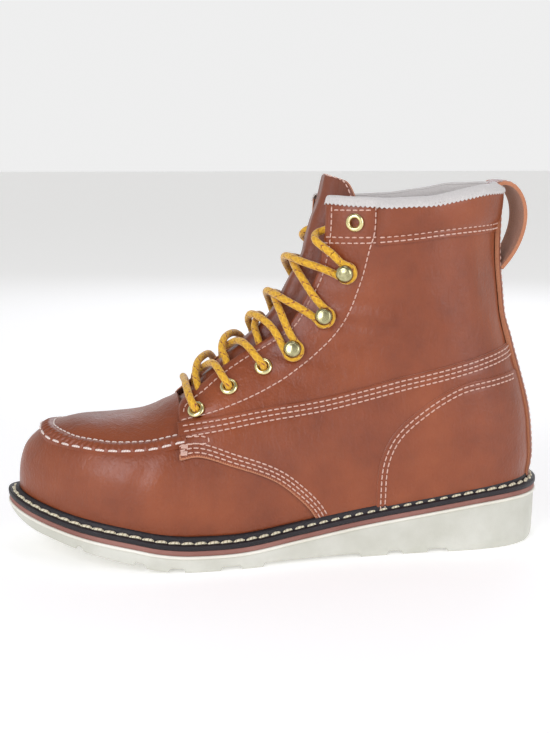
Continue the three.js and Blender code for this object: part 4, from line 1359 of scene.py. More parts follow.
def panel(name, outline, rows, lift, thick, side, replaced, holes=(), raw_below=0.0):
    """A leather panel laid over one side of the boot. lift is a function of the side view's places."""
    sign = SIDES[side]
    outline = even_points(np.vstack([outline, outline[:1]]), OUTLINE_STEP)[:-1]
    flat, triangles = panel_triangles(outline, rows, holes)
    x, z = flat.T
    pressed = EDGE_ROLL * np.clip(1 - distance_to_line(flat, outline, True) / EDGE_ROLL_WIDE, 0, 1) ** 2
    channel = np.zeros(len(flat))
    for row in rows:
        channel = np.maximum(channel, CHANNEL_DEEP * bump_at(distance_to_line(flat, row), 0.0, CHANNEL_WIDE))
    top, _ = on_side(x, z, sign, lift(x, z) - pressed - channel)
    low, _ = on_side(x, z, sign, lift(x, z) - thick)
    corner = top[triangles]
    facing = np.cross(corner[:, 1] - corner[:, 0], corner[:, 2] - corner[:, 0])[:, 1].sum()
    faces = [tuple(face) if facing * sign > 0 else tuple(face[::-1]) for face in triangles.tolist()]
    points, all_faces, marks = thickened(top, low, faces)
    middle = flat[triangles].mean(axis=1)
    raw = (distance_to_line(middle, outline, True) < RAW_WIDE) & (middle[:, 1] < raw_below)
    marks[: len(faces)] = raw.astype(int).tolist()
    return make_piece(f"{name}_{side}", points, all_faces, [LEATHER, RAW_EDGE], [replaced], marks)


# %% [markdown]
# ### The shaft
#
# One smooth piece of leather runs from the laced front edge round to the backstay. The laced part is
# doubled, which shows as a soft swelling between the edge and the outer row of stitches.

# %% Lines that the panels share
FRONT_EDGE = side_line("""
at      height
0.688   0.395
0.6855  0.423
0.668   0.45
0.648   0.474
0.621   0.509
0.574   0.558
0.529   0.5995
0.484   0.6495
0.456   0.72
0.437   0.778
0.4255  0.855
0.4205  0.98
""")
FACING_EDGE = side_line("""
at      height
0.3425  0.985
0.344   0.9
0.352   0.85
0.36    0.79
0.372   0.7275
0.391   0.6575
0.419   0.6025
0.49    0.5135
0.539   0.4715
0.623   0.421
0.688   0.391
""")
QUARTER_TOP = side_line("""
at      height
0.691   0.3865
0.566   0.4225
0.429   0.4535
0.255   0.515
0.0974  0.569
0.066   0.578
""")
WING_EDGE = side_line("""
at      height
0.691   0.3
0.66    0.308
0.604   0.2835
0.524   0.2335
0.478   0.1745
0.455   0.134
0.441   0.095
""")
COUNTER_EDGE = side_line("""
at      height
0.336   0.075
0.336   0.16
0.331   0.268
0.31    0.34
0.259   0.411
0.185   0.4775
0.11    0.496
0.07    0.501
""")
BAND_FOOT = side_line("""
at      height
0.3412  0.864
0.286   0.872
0.213   0.885
0.107   0.894
0.082   0.896
""")
EYELETS = table("""
turn   around
9.17   0.228
10.69  0.244
11.88  0.26
21.25  0.295
""")
HOOKS = table("""
turn   around
13.18  0.278
15.44  0.256
18.61  0.279
""")
BACK_MARGIN = 12.0


def offset_line(line, apart):
    """A line beside another in the side view."""
    slope = unit(np.gradient(line, axis=0))
    return even_points(line + np.column_stack([-slope[:, 1], slope[:, 0]]) * apart, 1.0)


def back_edge(low_z, high_z):
    """Where the panels end near the back, beside the backstay."""
    z = np.arange(low_z, high_z, 1.5)
    low, high = backline(z) - 60, backline(z) - 0.2
    x = solve(low, high, lambda x: np.abs(on_side(x, z, 1)[0][:, 1]) < BACK_MARGIN)
    return np.column_stack([x, z])


def between(line, low_x=-1e9, high_x=1e9):
    return line[(line[:, 0] >= low_x) & (line[:, 0] <= high_x)]


def foot_line(low_x, high_x):
    x = np.arange(low_x, high_x, 2.0)
    return np.column_stack([x, rim(x) + 0.4])


# %% Shaft panels
SHAFT_LIFT = 0.35
FACING_SWELL = 0.95
FACING_SOFT = 5.0
EYELET_HOLE = 3.1


def shaft_lift(x, z):
    """The doubled facing stands a little proud of the rest of the shaft."""
    points = np.column_stack([x, z])
    order = np.argsort(FACING_EDGE[:, 1])
    edge_x = np.interp(z, FACING_EDGE[order, 1], FACING_EDGE[order, 0])
    side = np.where(x < edge_x, 1.0, -1.0)
    gap = distance_to_line(points, FACING_EDGE) * side
    return SHAFT_LIFT + FACING_SWELL * smooth_step(gap, -1.6, FACING_SOFT * 0.5)


shaft_back = back_edge(126.0, 198.0)
shaft_outline = np.vstack([
    FRONT_EDGE[:-1],
    between(COLLAR_LINE, high_x=shaft_back[-1, 0] - 0.5),
    shaft_back[::-1],
    offset_line(QUARTER_TOP, -4.0)[::-1][2:-3],
])
FACING_INNER_ROW = offset_line(FRONT_EDGE, -2.9)[3:-2]
FACING_OUTER_ROW = FACING_EDGE[2:-1]
eyelet_places = skin(EYELETS["turn"], EYELETS["around"])
eyelet_holes = [(point[0], point[2], EYELET_HOLE) for point in eyelet_places]
FACING_ROWS = [FACING_INNER_ROW, FACING_OUTER_ROW]

for side in SIDES:
    panel("shaft", shaft_outline, FACING_ROWS, shaft_lift, 1.1, side, f"eyestay_{side}", eyelet_holes)


# %% [markdown]
# ### Quarter and counter
#
# The quarter runs from the front of the throat to the heel, under three rows of stitches. The counter is
# a second, stiffer layer around the heel.

# %% Quarter and counter panels
QUARTER_LIFT = 1.55
COUNTER_LIFT = 2.35
TRIPLE_ROWS = [offset_line(QUARTER_TOP, -offset)[2:-1] for offset in (2.0, 4.5, 7.0)]
WING_ROWS = [offset_line(WING_EDGE, offset)[1:-4] for offset in (2.2, 4.3, 6.4)]
COUNTER_ROWS = [offset_line(COUNTER_EDGE, -offset)[3:-1] for offset in (2.2, 4.8)]

quarter_back = back_edge(34.0, float(QUARTER_TOP[-1, 1]) - 1.0)
quarter_outline = np.vstack([
    between(QUARTER_TOP, high_x=quarter_back[-1, 0] - 1.0),
    quarter_back[::-1],
    foot_line(float(WING_EDGE[-1, 0]) + 1.5, 128.0)[::-1],
    WING_EDGE[::-1][1:],
])
counter_back = back_edge(34.0, float(COUNTER_EDGE[-1, 1]) - 1.0)
counter_outline = np.vstack([
    between(COUNTER_EDGE, high_x=counter_back[-1, 0] - 1.0),
    counter_back[::-1],
    foot_line(float(COUNTER_EDGE[0, 0]) + 1.0, 128.0)[::-1],
])



def quarter_lift(x, z):
    return np.full(np.shape(x), QUARTER_LIFT)


def counter_lift(x, z):
    return np.full(np.shape(x), COUNTER_LIFT)


QUARTER_ROWS = TRIPLE_ROWS + WING_ROWS
RAW_BELOW = 63.0  # only the wing's cut edge is left raw, and all that is above it is dyed
for side in SIDES:
    solid = f"quarter_{side}"
    panel("quarter", quarter_outline, QUARTER_ROWS, quarter_lift, 1.5, side, solid, raw_below=RAW_BELOW)
    panel("counter", counter_outline, COUNTER_ROWS, counter_lift, 1.3, side, f"counter_{side}")


# %% [markdown]
# ## The moc seam
#
# Round the toe, the side leather is folded up and sewn by hand to the plug. The fold bunches a little at
# every stitch, so the seam is a soft ridge with a rib between each pair of stitches and a groove on its
# outer side. The ridge is drawn as a strip whose profile changes along the seam.

# %% Moc seam
MOC = table("""
place  turn   around  width_turn  width_around
0      8.4    -0.328  0.0         0.042
1      7.0    -0.3    0.0         0.055
2      6.05   -0.292  0.0         0.06
3      5.34   -0.286  0.25        0.063
4      4.43   -0.26   0.42        0.061
5      3.67   -0.2    0.57        0.065
6      3.3    -0.1    0.63        0.035
7      3.22   0.0     0.66        0.0
8      3.3    0.1     0.63        -0.035
9      3.67   0.2     0.57        -0.065
10     4.43   0.26    0.42        -0.061
11     5.34   0.286   0.25        -0.063
12     6.05   0.292   0.0         -0.06
13     7.0    0.3     0.0         -0.055
14     8.4    0.328   0.0         -0.042
""")
moc_at = smooth_reader(MOC["place"], MOC)
MOC_PITCH = 7.3
MOC_TALL = 2.3
RIBS_PER_STITCH = 2.0
MOC_SAMPLES = 560
MOC_ACROSS = (-0.30, -0.2, -0.1, 0.0, 0.08, 0.18, 0.3, 0.45, 0.6, 0.75, 0.88, 0.97, 1.06, 1.16)


def moc_line(across, places):
    """Turn and around of a line that runs along the seam, this share of the way from its outer edge."""
    row = moc_at(places)
    return row["turn"] + across * row["width_turn"], row["around"] + across * row["width_around"]


rough_places = np.linspace(0, 14, 1200)
moc_reach = reach_of(seat(*moc_line(0.3, rough_places))[0])
moc_places = np.interp(np.linspace(0, moc_reach[-1], MOC_SAMPLES), moc_reach, rough_places)
moc_phase = np.linspace(0, moc_reach[-1], MOC_SAMPLES) / MOC_PITCH
print(f"moc seam {moc_reach[-1]:.0f} mm long, {moc_reach[-1] / MOC_PITCH:.0f} stitches")


def moc_profile(across, phase):
    """Height of the seam's fold: steep outside, puckered, and flat where the plug begins."""
    between_ribs = (0.5 - 0.5 * np.cos(2 * math.pi * RIBS_PER_STITCH * phase)) ** 1.6
    fold = smooth_step(across, -0.16, 0.06) * (1 - smooth_step(across, 0.6, 1.1))
    pucker = 0.75 * bump_at(across, 0.48, 0.26) * between_ribs
    thread_bed = 0.5 * bump_at(across, 0.1, 0.09)
    groove = 0.35 * bump_at(across, -0.2, 0.07)
    return 0.12 + MOC_TALL * fold - pucker - thread_bed - groove


def moc_seam():
    rows, low_rows = [], []
    for across in MOC_ACROSS:
        turn, around = moc_line(across, moc_places)
        edge = across in (MOC_ACROSS[0], MOC_ACROSS[-1])
        lift = np.full(MOC_SAMPLES, -0.1) if edge else moc_profile(across, moc_phase)
        rows.append(seat(turn, around, lift)[0])
        low_rows.append(seat(turn, around, -0.8)[0])
    rows += low_rows[::-1]
    faces = strip_faces(len(rows), MOC_SAMPLES)
    return make_piece("moc_toe_seam", np.vstack(rows), faces, [LEATHER], ["moc_seam"])


moc_seam()


# %% [markdown]
# ## Collar and lining
#
# The collar is a band of thin leather over foam, so it bulges. The off-white lining comes up over the top
# edge and shows as a soft roll.

# %% Collar band
COLLAR_PAD = 3.0
BAND_LIFT = 1.55
FLAT_FOOT = 4.6
COLLAR_FRONT = 48.9
BAND_ROWS = [offset_line(BAND_FOOT, offset)[2:-1] for offset in (1.9, 4.5)]


def collar_lift(x, z):
    order = np.argsort(BAND_FOOT[:, 0])
    foot = np.interp(x, BAND_FOOT[order, 0], BAND_FOOT[order, 1])
    rise = np.clip((z - foot - FLAT_FOOT) / (collar_height(x) - foot - FLAT_FOOT), 0, 1)
    front = smooth_step(x, COLLAR_FRONT, COLLAR_FRONT + 7.0)
    return BAND_LIFT + COLLAR_PAD * front * np.sqrt(np.clip(rise * (1.0 - 0.62 * rise), 0, 1)) * 1.4


collar_back = back_edge(float(BAND_FOOT[-1, 1]) + 0.5, 199.5)
collar_outline = np.vstack([
    between(COLLAR_LINE, COLLAR_FRONT, collar_back[-1, 0] - 0.8),
    collar_back[::-1],
    between(BAND_FOOT, high_x=collar_back[0, 0] - 0.8)[::-1],
])
for side in SIDES:
    panel("collar", collar_outline, BAND_ROWS, collar_lift, 1.6, side, "collar_band")


# %% Lining roll
LINING_COLUMNS = 230
LINING_PROFILE = (
    (-15.0, -2.9), (-10.0, -3.2), (-5.0, -3.7), (-1.0, -4.2), (1.6, -4.0), (3.1, -3.1),
    (3.7, -1.8), (3.3, -0.4), (2.1, 0.8), (0.6, 1.7), (-0.8, 2.1),
)
LINING_THICK = 0.7
PINK_PITCH = 2.5
PINK_DEEP = 1.2
OVER_BAND = 2.5


def collar_path(count):
    """The collar's edge as turn and around, from the outer throat round the heel to the inner throat."""
    side = np.linspace(0, 1, count)
    low, high = np.full(count, COLLAR_TURN), np.full(count, float(LAST_TURN))

    def around_at(turn):
        edge = throat_at(turn)["around"]
        return edge + (1 - edge) * side

    def above(turn):
        points = skin(turn, around_at(turn))
        return points[..., 2] > collar_height(points[..., 0])

    turn = solve(low, high, above)
    around = around_at(turn)
    return np.concatenate([turn, turn[-2::-1]]), np.concatenate([-around, around[-2::-1]])


def lining_roll():
    """A puffed sheet up the inside, over the top edge and down outside, where its edge is pinked."""
    turn, around = collar_path(LINING_COLUMNS)
    base, straight_out = skin(turn, around), seat(turn, around)[1]
    reach = reach_of(base)
    pinked = PINK_DEEP * np.abs((reach / PINK_PITCH) % 1.0 - 0.5) * 2
    puffed = 0.6 * (0.25 * np.sin(reach / 6.1) + 0.2 * np.sin(reach / 3.7 + 1.0))
    over_band = OVER_BAND * smooth_step(base[:, 0], COLLAR_FRONT - 2.0, COLLAR_FRONT + 3.0)
    count = len(LINING_PROFILE)
    rows = []
    for number, (rise, lift) in enumerate(LINING_PROFILE):
        outside = float(np.clip((number - count + 4) / 2, 0, 1))
        up = rise + puffed * (rise > -9) - pinked * (number >= count - 2)
        rows.append(seat(turn, around, lift + over_band * outside)[0] + up[:, None] * [0.0, 0.0, 1.0])
    for number in reversed(range(count)):
        inward = LINING_THICK * straight_out * (1 if number < 5 else -1)
        rows.append(rows[number] + inward - [0.0, 0.0, 0.5 * (3 < number < 9)])
    faces = strip_faces(len(rows), len(turn))
    return make_piece("lining_roll", np.vstack(rows), faces, [LINING])


lining_roll()


# %% [markdown]
# ## Backstay and pull loop
#
# A strip of leather covers the seam up the heel. Above it the pull loop is folded over the collar and sewn
# down outside and inside. Rays cast from behind find the heel's surface, because the strip crosses from
# one side of the boot to the other.

# %% The heel's surface
BACK_HALF = 13.2
BACKSTAY_LIFT = 3.3
BACKSTAY_LIFT_LOW = 4.1
BACKSTAY_SHARES = np.array([0.2, 0.45, 0.66, 0.72, 0.78, 0.9, 0.97, 1])
SEWN_AT = 0.72
BEHIND = 220.0


heel_grids = [shaft_grid(-1), shaft_grid(1)]
heel_sheets = [(seat(*grid)[0].reshape(-1, 3), grid_faces(*grid[0].shape)) for grid in heel_grids]
heel_points, heel_faces = joined(heel_sheets)
HEEL_TREE = BVHTree.FromPolygons(heel_points.tolist(), heel_faces)


def on_heel(y, z, lift):
    """Points behind the heel at given places seen from behind, lifted straight out."""
    y, z, lift = np.broadcast_arrays(np.asarray(y, float), np.asarray(z, float), np.asarray(lift, float))
    found = np.zeros(y.shape + (3,))
    for index in np.ndindex(y.shape):
        start = Vector((BEHIND, y[index], z[index]))
        hit, normal, _, _ = HEEL_TREE.ray_cast(start, Vector((-1, 0, 0)), 2 * BEHIND)
        if hit is None:
            hit, normal = Vector((backline(z[index]), y[index], z[index])), Vector((1, 0, 0))
        normal = normal if normal.x > 0 else -normal
        found[index] = np.array(hit) + np.array((normal.x, normal.y, 0.3 * normal.z)) * lift[index]
    return found


def backstay_lift(z):
    """The strip lies over the quarter and the counter, so it stands further out lower down."""
    return BACKSTAY_LIFT_LOW + (BACKSTAY_LIFT - BACKSTAY_LIFT_LOW) * smooth_step(z, 118.0, 132.0)


def widening(z):
    """The strip grows wider toward the sole."""
    return 0.16 * (1 - smooth_step(z, 60.0, 128.0))


def backstay():
    z = np.arange(float(rim(130.0)) + LIP_TALL - 2.0, 193.0, 2.2)
    across = BACK_HALF * np.concatenate([-BACKSTAY_SHARES[::-1], [0], BACKSTAY_SHARES])
    pressed = 0.5 * np.clip((np.abs(across) / BACK_HALF - 0.93) / 0.07, 0, 1) ** 2
    pressed += 0.28 * bump_at(np.abs(across), SEWN_AT * BACK_HALF, 0.7)
    y, heights = np.meshgrid(across, z)
    uneven = 0.035 * np.sin(heights / 5.3) * np.sin(heights / 13.0)
    y = y * (1 + uneven + widening(heights))
    top = on_heel(y, heights, backstay_lift(heights) - pressed[None, :]).reshape(-1, 3)
    low = on_heel(y, heights, 0.6).reshape(-1, 3)
    points, faces, marks = thickened(top, low, [face[::-1] for face in grid_faces(*y.shape)])
    leathers = [LEATHER_DARK, RAW_EDGE]
    return make_piece("heel_backstay", points, faces, leathers, ["backstay"], marks)


backstay()


# %% The pull loop
LOOP_PATH = side_line("""
at      height
0.0875  0.788
0.072   0.818
0.055   0.865
0.0455  0.93
0.052   0.985
0.07    1.02
0.092   1.027
0.1095  1.003
0.1125  0.945
""")
LOOP_WIDE = 26.0
LOOP_THICK = 2.6


def loop_ring():
    """One cross-section of the ribbon as (across, out), outer face first, with rounded edges."""
    half, thick = LOOP_WIDE / 2, LOOP_THICK / 2
    shares = np.array([0.3, 0.64, 0.72, 0.8, 0.96, 1])
    across = np.concatenate([-shares[::-1], [0.0], shares]) * half
    rounded = 0.3 * (np.abs(across) > 0.95 * half)
    outer = np.column_stack([across, thick - 0.25 * bump_at(np.abs(across), SEWN_AT * half, 0.8) - rounded])
    inner = np.column_stack([across[::-1], rounded - thick])
    return np.vstack([outer, inner]), len(across)


def pull_loop():
    path = even_points(LOOP_PATH, 1.6)
    slope = unit(np.gradient(path, axis=0))
    outward = np.column_stack([slope[:, 1], -slope[:, 0]])
    ring, face_count = loop_ring()
    sag = np.sin(np.linspace(0, math.pi, len(path))) * 0.7
    points = []
    for place, out, deep in zip(path, outward, sag):
        lift = ring[:, 1] + deep * (1 - (ring[:, 0] / (LOOP_WIDE / 2)) ** 2)
        points.append(np.column_stack([place[0] + out[0] * lift, ring[:, 0], place[1] + out[1] * lift]))
    polished, edge, flesh = 0, 1, 2
    around = [polished] * (face_count - 1) + [edge] + [flesh] * (face_count - 1) + [edge]
    marks = around * (len(path) - 1) + [edge, edge]
    faces = tube_faces(len(path), len(ring), turned_over=True)
    leathers = [LEATHER_DARK, RAW_EDGE, FLESH_SIDE]
    points = np.vstack(points)
    return make_piece("heel_pull_loop", points, faces, leathers, ["backstay"], marks)


pull_loop()


# %% [markdown]
# ## Tongue
#
# The tongue lies under the laces and stands a little above the collar. It is a soft sheet with a stitched
# edge, hollow in the middle where the laces press on it.

# %% Tongue
TONGUE_EDGE = side_line("""
at      height
0.735   0.31
0.63    0.39
0.516   0.49
0.429   0.6
0.38    0.76
0.38    0.94
0.392   1.005
0.408   1.042
0.43    1.058
""")
TONGUE_HALF_COLUMNS = 22
TONGUE_THICK = 2.6
TONGUE_SINK = 6.4
TONGUE_LIFT = -2.6
TONGUE_SEWN_AT = 0.93


def tongue_lift(points, lift):
    """Toward the top the sides lie deeper, behind the facings."""
    beside = smooth_step(np.abs(points[..., 1]), 4.0, 16.0)
    high = smooth_step(points[..., 2], float(height_of(0.5)), float(height_of(0.8)))
    low_side = smooth_step(np.abs(points[..., 1]), 5.0, 14.0) * (1 - high)
    shown = smooth_step(points[..., 0], -75.0, -45.0)
    ripple = 0.35 * np.sin(points[..., 2] / 4.6 + 0.9 * np.sin(points[..., 1] / 7.0)) * shown
    hollow = -1.0 * np.exp(-((points[..., 1] / 7.0) ** 2)) * shown
    return lift - TONGUE_SINK * beside * high - 3.0 * low_side * shown + ripple + hollow - 1.9 * (1 - shown)


def tongue():
    path = even_points(TONGUE_EDGE, 1.6)
    turn, edge = spot(path[:, 0], path[:, 1])
    side = np.linspace(-1, 1, 2 * TONGUE_HALF_COLUMNS + 1)
    around = edge[:, None] * side[None, :]
    turn = np.broadcast_to(turn[:, None], around.shape)
    lift = tongue_lift(skin(turn, around), TONGUE_LIFT)
    pressed = 0.7 * np.clip((np.abs(side) - 0.97) / 0.03, 0, 1) ** 2
    pressed += 0.4 * bump_at(np.abs(side), TONGUE_SEWN_AT, 0.012)
    top = seat(turn, around, lift - pressed[None, :])[0].reshape(-1, 3)
    low = seat(turn, around, lift - TONGUE_THICK)[0].reshape(-1, 3)
    points, faces, marks = thickened(top, low, grid_faces(*around.shape), (0, 2, 1))
    leathers = [LEATHER_DARK, RAW_EDGE, LINING]
    return make_piece("padded_tongue", points, faces, leathers, ["tongue"], marks)


tongue()


# %% [markdown]
# ## Eyelets and hooks
#
# Each is turned from brass, so it is a profile swept round an axis that stands straight out of the
# leather. An eyelet is a rolled flange round a short barrel. A hook is a washer, a neck and a ball with a
# slightly flattened face.

# %% Turned brass
SWEEP = 36
HARDWARE_LIFT = 2.2
EYELET_PROFILE = (
    (2.45, -3.6), (2.5, 0.0), (2.62, 0.55), (2.95, 0.95), (3.4, 1.1), (3.9, 1.02),
    (4.5, 0.72), (4.9, 0.3), (5.0, -0.1), (4.9, -0.5), (3.1, -0.6), (3.05, -3.6),
)
HOOK_PROFILE = (
    (1.9, -3.4), (1.9, -0.7), (4.3, -0.7), (4.6, -0.4), (4.6, 0.1), (4.3, 0.5), (3.1, 0.8),
    (2.3, 1.2), (2.05, 1.9), (2.1, 2.6), (2.7, 3.2), (3.7, 3.8), (4.5, 4.7), (4.88, 5.8),
    (4.85, 6.8), (4.4, 7.8), (3.7, 8.55), (2.9, 9.0), (2.6, 8.95), (2.35, 9.0), (1.3, 9.3),
)


def swept_circle(across, up, sides):
    """Points of a circle of radius 1 in the plane of two directions."""
    angles = np.linspace(0, 2 * math.pi, sides, endpoint=False)[:, None]
    return np.cos(angles) * across[..., None, :] + np.sin(angles) * up[..., None, :]


def turned(place, out, profile, hollow):
    """A profile of (radius, height) swept round the line that stands out of the leather."""
    across = unit(np.cross(out, [0.0, 0.0, 1.0]))
    circle = swept_circle(across, np.cross(across, out), SWEEP)
    points = np.vstack([place + radius * circle + height * out for radius, height in profile])
    if hollow:
        grid = grid_faces(len(profile), SWEEP, wrap_rows=True, wrap_columns=True)
        return points, [face[::-1] for face in grid]
    return points, tube_faces(len(profile), SWEEP, turned_over=True)


HARDWARE = (
    ("brass_eyelet", "eyelet", EYELETS, EYELET_PROFILE, EYELET_BRASS),
    ("ball_hook", "hook", HOOKS, HOOK_PROFILE, HOOK_BRASS),
)
for side, sign in SIDES.items():
    for name, solid, places, profile, brass in HARDWARE:
        for number, (turn, around) in enumerate(zip(places["turn"], places["around"]), 1):
            place, out = seat(turn, sign * around, HARDWARE_LIFT)
            points, faces = turned(place, out, profile, hollow=solid == "eyelet")
            replaced = [f"{solid}_{side}_{number}"]
            make_piece(f"{name}_{side}_{number}", points, faces, [brass], replaced)


# %% [markdown]
# ## Lace
#
# A round braided lace, yellow with a red-brown fleck. It starts as a bar through the lowest eyelets, comes
# up through the next two pairs from below, then wraps round the hooks. Its braid is drawn from how far
# along and around the lace each point lies.

# %% Tubes for cords
LACE_THICK = 4.2
TUBE_SIDES = 12


def tube(path):
    """The lace along a path, with how far along and around it each point lies."""
    line = even_points(np.asarray(path, float), 0.9)
    slope = unit(np.gradient(line, axis=0))
    across = [unit(np.cross(slope[0], [0.3, 0.2, 1.0]))]
    for direction in slope[1:]:
        across.append(unit(across[-1] - direction * np.dot(across[-1], direction)))
    across = np.array(across)
    circle = swept_circle(across, np.cross(slope, across), TUBE_SIDES)
    points = (line[:, None] + LACE_THICK / 2 * circle).reshape(-1, 3)
    reach = np.linspace(0, reach_of(line)[-1], len(line))
    half = np.abs(np.linspace(-1, 1, TUBE_SIDES, endpoint=False))
    uv = np.column_stack([np.repeat(reach, TUBE_SIDES), np.tile(half, len(line))])
    return points, tube_faces(len(line), TUBE_SIDES), uv, line


# %% [markdown]
# ### The lace's route
#
# Each row of a route is a turn, a place around and a height over the leather. One strand of each
# crossing humps over the other. At a hook the lace goes in along its lower front, round the back of its
# neck and out at its top front.

# %% The lace's route
LACE_STEP = 0.8
OVER, BELOW = 2.5, -1.9
NECK = 2.05
LACED = list(zip(EYELETS["turn"], EYELETS["around"]))[:3] + list(zip(HOOKS["turn"], HOOKS["around"]))


def eyelet_crossing(number, sign, over):
    """From behind one side's eyelet, up over the throat's edge, across, and down into the next eyelet."""
    t0, a0 = LACED[number]
    t1, a1 = LACED[number + 1]
    edge0, edge1 = float(throat_at(t0 + 0.25)["around"]), float(throat_at(t1 - 0.2)["around"])
    hump = OVER if over else BELOW
    route = [
        (t0, sign * a0, -2.2),
        (t0 + 0.12, sign * (a0 * 0.45 + edge0 * 0.55), -2.8),
        (t0 + 0.3, sign * edge0 * 0.8, 0.2),
        (t0 * 0.7 + t1 * 0.3, sign * edge0 * 0.42, 1.2 + 0.6 * hump),
        ((t0 + t1) / 2, 0.0, 1.5 + hump),
        (t0 * 0.3 + t1 * 0.7, -sign * edge1 * 0.42, 2.2 + 0.6 * hump),
        (t1 - 0.16, -sign * edge1 * 0.95, 4.6),
    ]
    if number + 1 < 3:
        route += [
            (t1 - 0.05, -sign * (a1 * 0.72 + edge1 * 0.28), 5.4),
            (t1, -sign * a1, 3.4),
            (t1, -sign * a1, 0.2),
            (t1 + 0.02, -sign * a1 * 0.97, -2.2),
        ]
    return list(points_of(route))


def points_of(route):
    turn, around, lift = (np.array(column, float) for column in zip(*route))
    return seat(turn, around, lift)[0]


def hook_wrap(number, sign):
    """Round the neck of a hook."""
    turn, around = LACED[number]
    place, out = seat(turn, sign * around, HARDWARE_LIFT)
    ahead = unit(seat(turn, sign * (around - 0.05), HARDWARE_LIFT)[0] - place)
    up = unit(np.cross(ahead, out))
    up = up if up[2] > 0 else -up
    reach = NECK + LACE_THICK / 2 + 0.1
    angles = np.radians([-62, -100, -145, -190, -235, -272, -300])
    lifts = np.linspace(2.2, 3.0, len(angles))
    ways = [math.cos(angle) * ahead + math.sin(angle) * up for angle in angles]
    return [place + reach * way + lift * out for way, lift in zip(ways, lifts)]


def lace_bar():
    """Straight across the bottom of the throat, and down through the lowest eyelet on each side."""
    turn, around = LACED[0]
    edge = float(throat_at(turn)["around"])
    half = [
        (turn, around, -2.4),
        (turn, around, 0.2),
        (turn, around, 3.3),
        (turn - 0.02, around * 0.7 + edge * 0.3, 5.2),
        (turn - 0.04, edge * 0.6, 4.4),
    ]
    outer = [(turn, -around, lift) for turn, around, lift in half]
    return points_of(outer + [(turn - 0.05, 0.0, 3.0)] + half[::-1])


def upper_strand(sign):
    """From behind eyelet 3, across to hook 1, on from hook to hook, and on to where the end begins."""
    over = sign > 0
    points = eyelet_crossing(2, sign, over)
    sign = -sign
    points += hook_wrap(3, sign)
    for number in (4, 5):
        over = not over
        t0, t1 = LACED[number - 1][0], LACED[number][0]
        hump = OVER if over else BELOW
        edge = float(throat_at((t0 + t1) / 2)["around"])
        points += list(points_of([
            (t0 + 0.35 * (t1 - t0), sign * edge * 0.7, 3.9 + 0.5 * hump),
            ((t0 + t1) / 2, 0.0, 1.7 + hump),
            (t0 + 0.66 * (t1 - t0), -sign * edge * 0.7, 3.9 + 0.5 * hump),
        ]))
        sign = -sign
        points += hook_wrap(number, sign)
    last = [(18.98, sign * 0.262, 5.0), (19.12, sign * 0.249, 6.0), (19.25, sign * 0.236, 6.3)]
    return points + list(points_of(last))


def laces():
    routes = [lace_bar()]
    for sign in (-1, 1):
        routes.append(eyelet_crossing(0, sign, sign < 0))
        routes.append(eyelet_crossing(1, -sign, sign > 0))
        routes.append(upper_strand(sign))
    tubes = [tube(curve_through(np.array(route), LACE_STEP)) for route in routes]
    points, faces = joined([cord[:2] for cord in tubes])
    uv = np.vstack([cord[2] for cord in tubes])
    return make_piece("braided_lace", points, faces, [LACE_BRAID], ["lace_crossings"], uv=uv)


laces()


# %% The lace's two ends
END_ROUTE = (
    (19.25, 0.236, 6.3), (19.35, 0.205, 5.9), (19.5, 0.17, 5.5), (19.65, 0.142, 2.0), (19.85, 0.13, -1.2),
    (20.1, 0.14, -3.9), (20.45, 0.175, -5.9), (20.9, 0.205, -5.9), (21.3, 0.22, -5.9),
)

for side, sign in SIDES.items():
    route = points_of([(turn, sign * around, lift) for turn, around, lift in END_ROUTE])
    points, faces, uv, line = tube(curve_through(route, LACE_STEP))
    solid = [f"lace_end_{side}"]
    end = make_piece(f"braided_lace_end_{side}", points, faces, [LACE_BRAID], solid, uv=uv)
    line = (line + [0.0, SIDE_SHIFT, 0.0]) * MM


# %% [markdown]
# ## Stitching
#
# Every stitch is a short length of thread that comes up through one hole and goes down through the next.
# So each is its own little capsule whose ends dip into the leather. Rows are sampled evenly along their
# line, and all stitches of one thread are one mesh.

# %% Rows of stitches
STITCH_PROFILE = (
    (-1.0, 0.3, -0.75), (-0.86, 0.75, -0.35), (-0.5, 0.98, -0.06), (0.0, 1.0, 0.0),
    (0.5, 0.98, -0.06), (0.86, 0.75, -0.35), (1.0, 0.3, -0.75),
)
STITCH_SIDES = 7
STITCH_DIP = 0.6


def stitch_row(points, outs, pitch, length, thick, slant=0.0):
    """Capsules along one line. slant turns each stitch a little across the line, in radians."""
    reach = reach_of(points)
    count = max(1, int(reach[-1] / pitch))
    places = (np.arange(count) + 0.5) * reach[-1] / count
    middle, out = along_line(points, reach, places), unit(along_line(outs, reach, places))
    ahead = unit(along_line(points, reach, places + 0.5) - along_line(points, reach, places - 0.5))
    across = unit(np.cross(out, ahead))
    ahead = ahead * math.cos(slant) + across * math.sin(slant)
    across = unit(np.cross(out, ahead))
    out = np.cross(ahead, across)
    circle = swept_circle(across, out, STITCH_SIDES)
    around = np.arange(STITCH_SIDES) / STITCH_SIDES
    rings, uvs = [], []
    for along, wide, dip in STITCH_PROFILE:
        centre = middle + ahead * (along * length / 2) + out * (dip * thick * STITCH_DIP)
        rings.append(centre[:, None] + (thick / 2) * wide * circle)
        uvs.append(np.column_stack([np.full(STITCH_SIDES, along * length / 2), around]))
    size = len(STITCH_PROFILE) * STITCH_SIDES
    one = tube_faces(len(STITCH_PROFILE), STITCH_SIDES)
    faces = [tuple(start * size + index for index in face) for start in range(count) for face in one]
    return np.stack(rings, axis=1).reshape(-1, 3), faces, np.tile(np.vstack(uvs), (count, 1))


def sew(name, rows, material):
    """One mesh from many rows of stitches."""
    points, faces = joined([row[:2] for row in rows])
    return make_piece(name, points, faces, [material], uv=np.vstack([row[2] for row in rows]))


# %% Panel stitching
FINE_STITCH = {"pitch": 3.55, "length": 2.9, "thick": 0.8}
THREAD_SEAT = 0.1


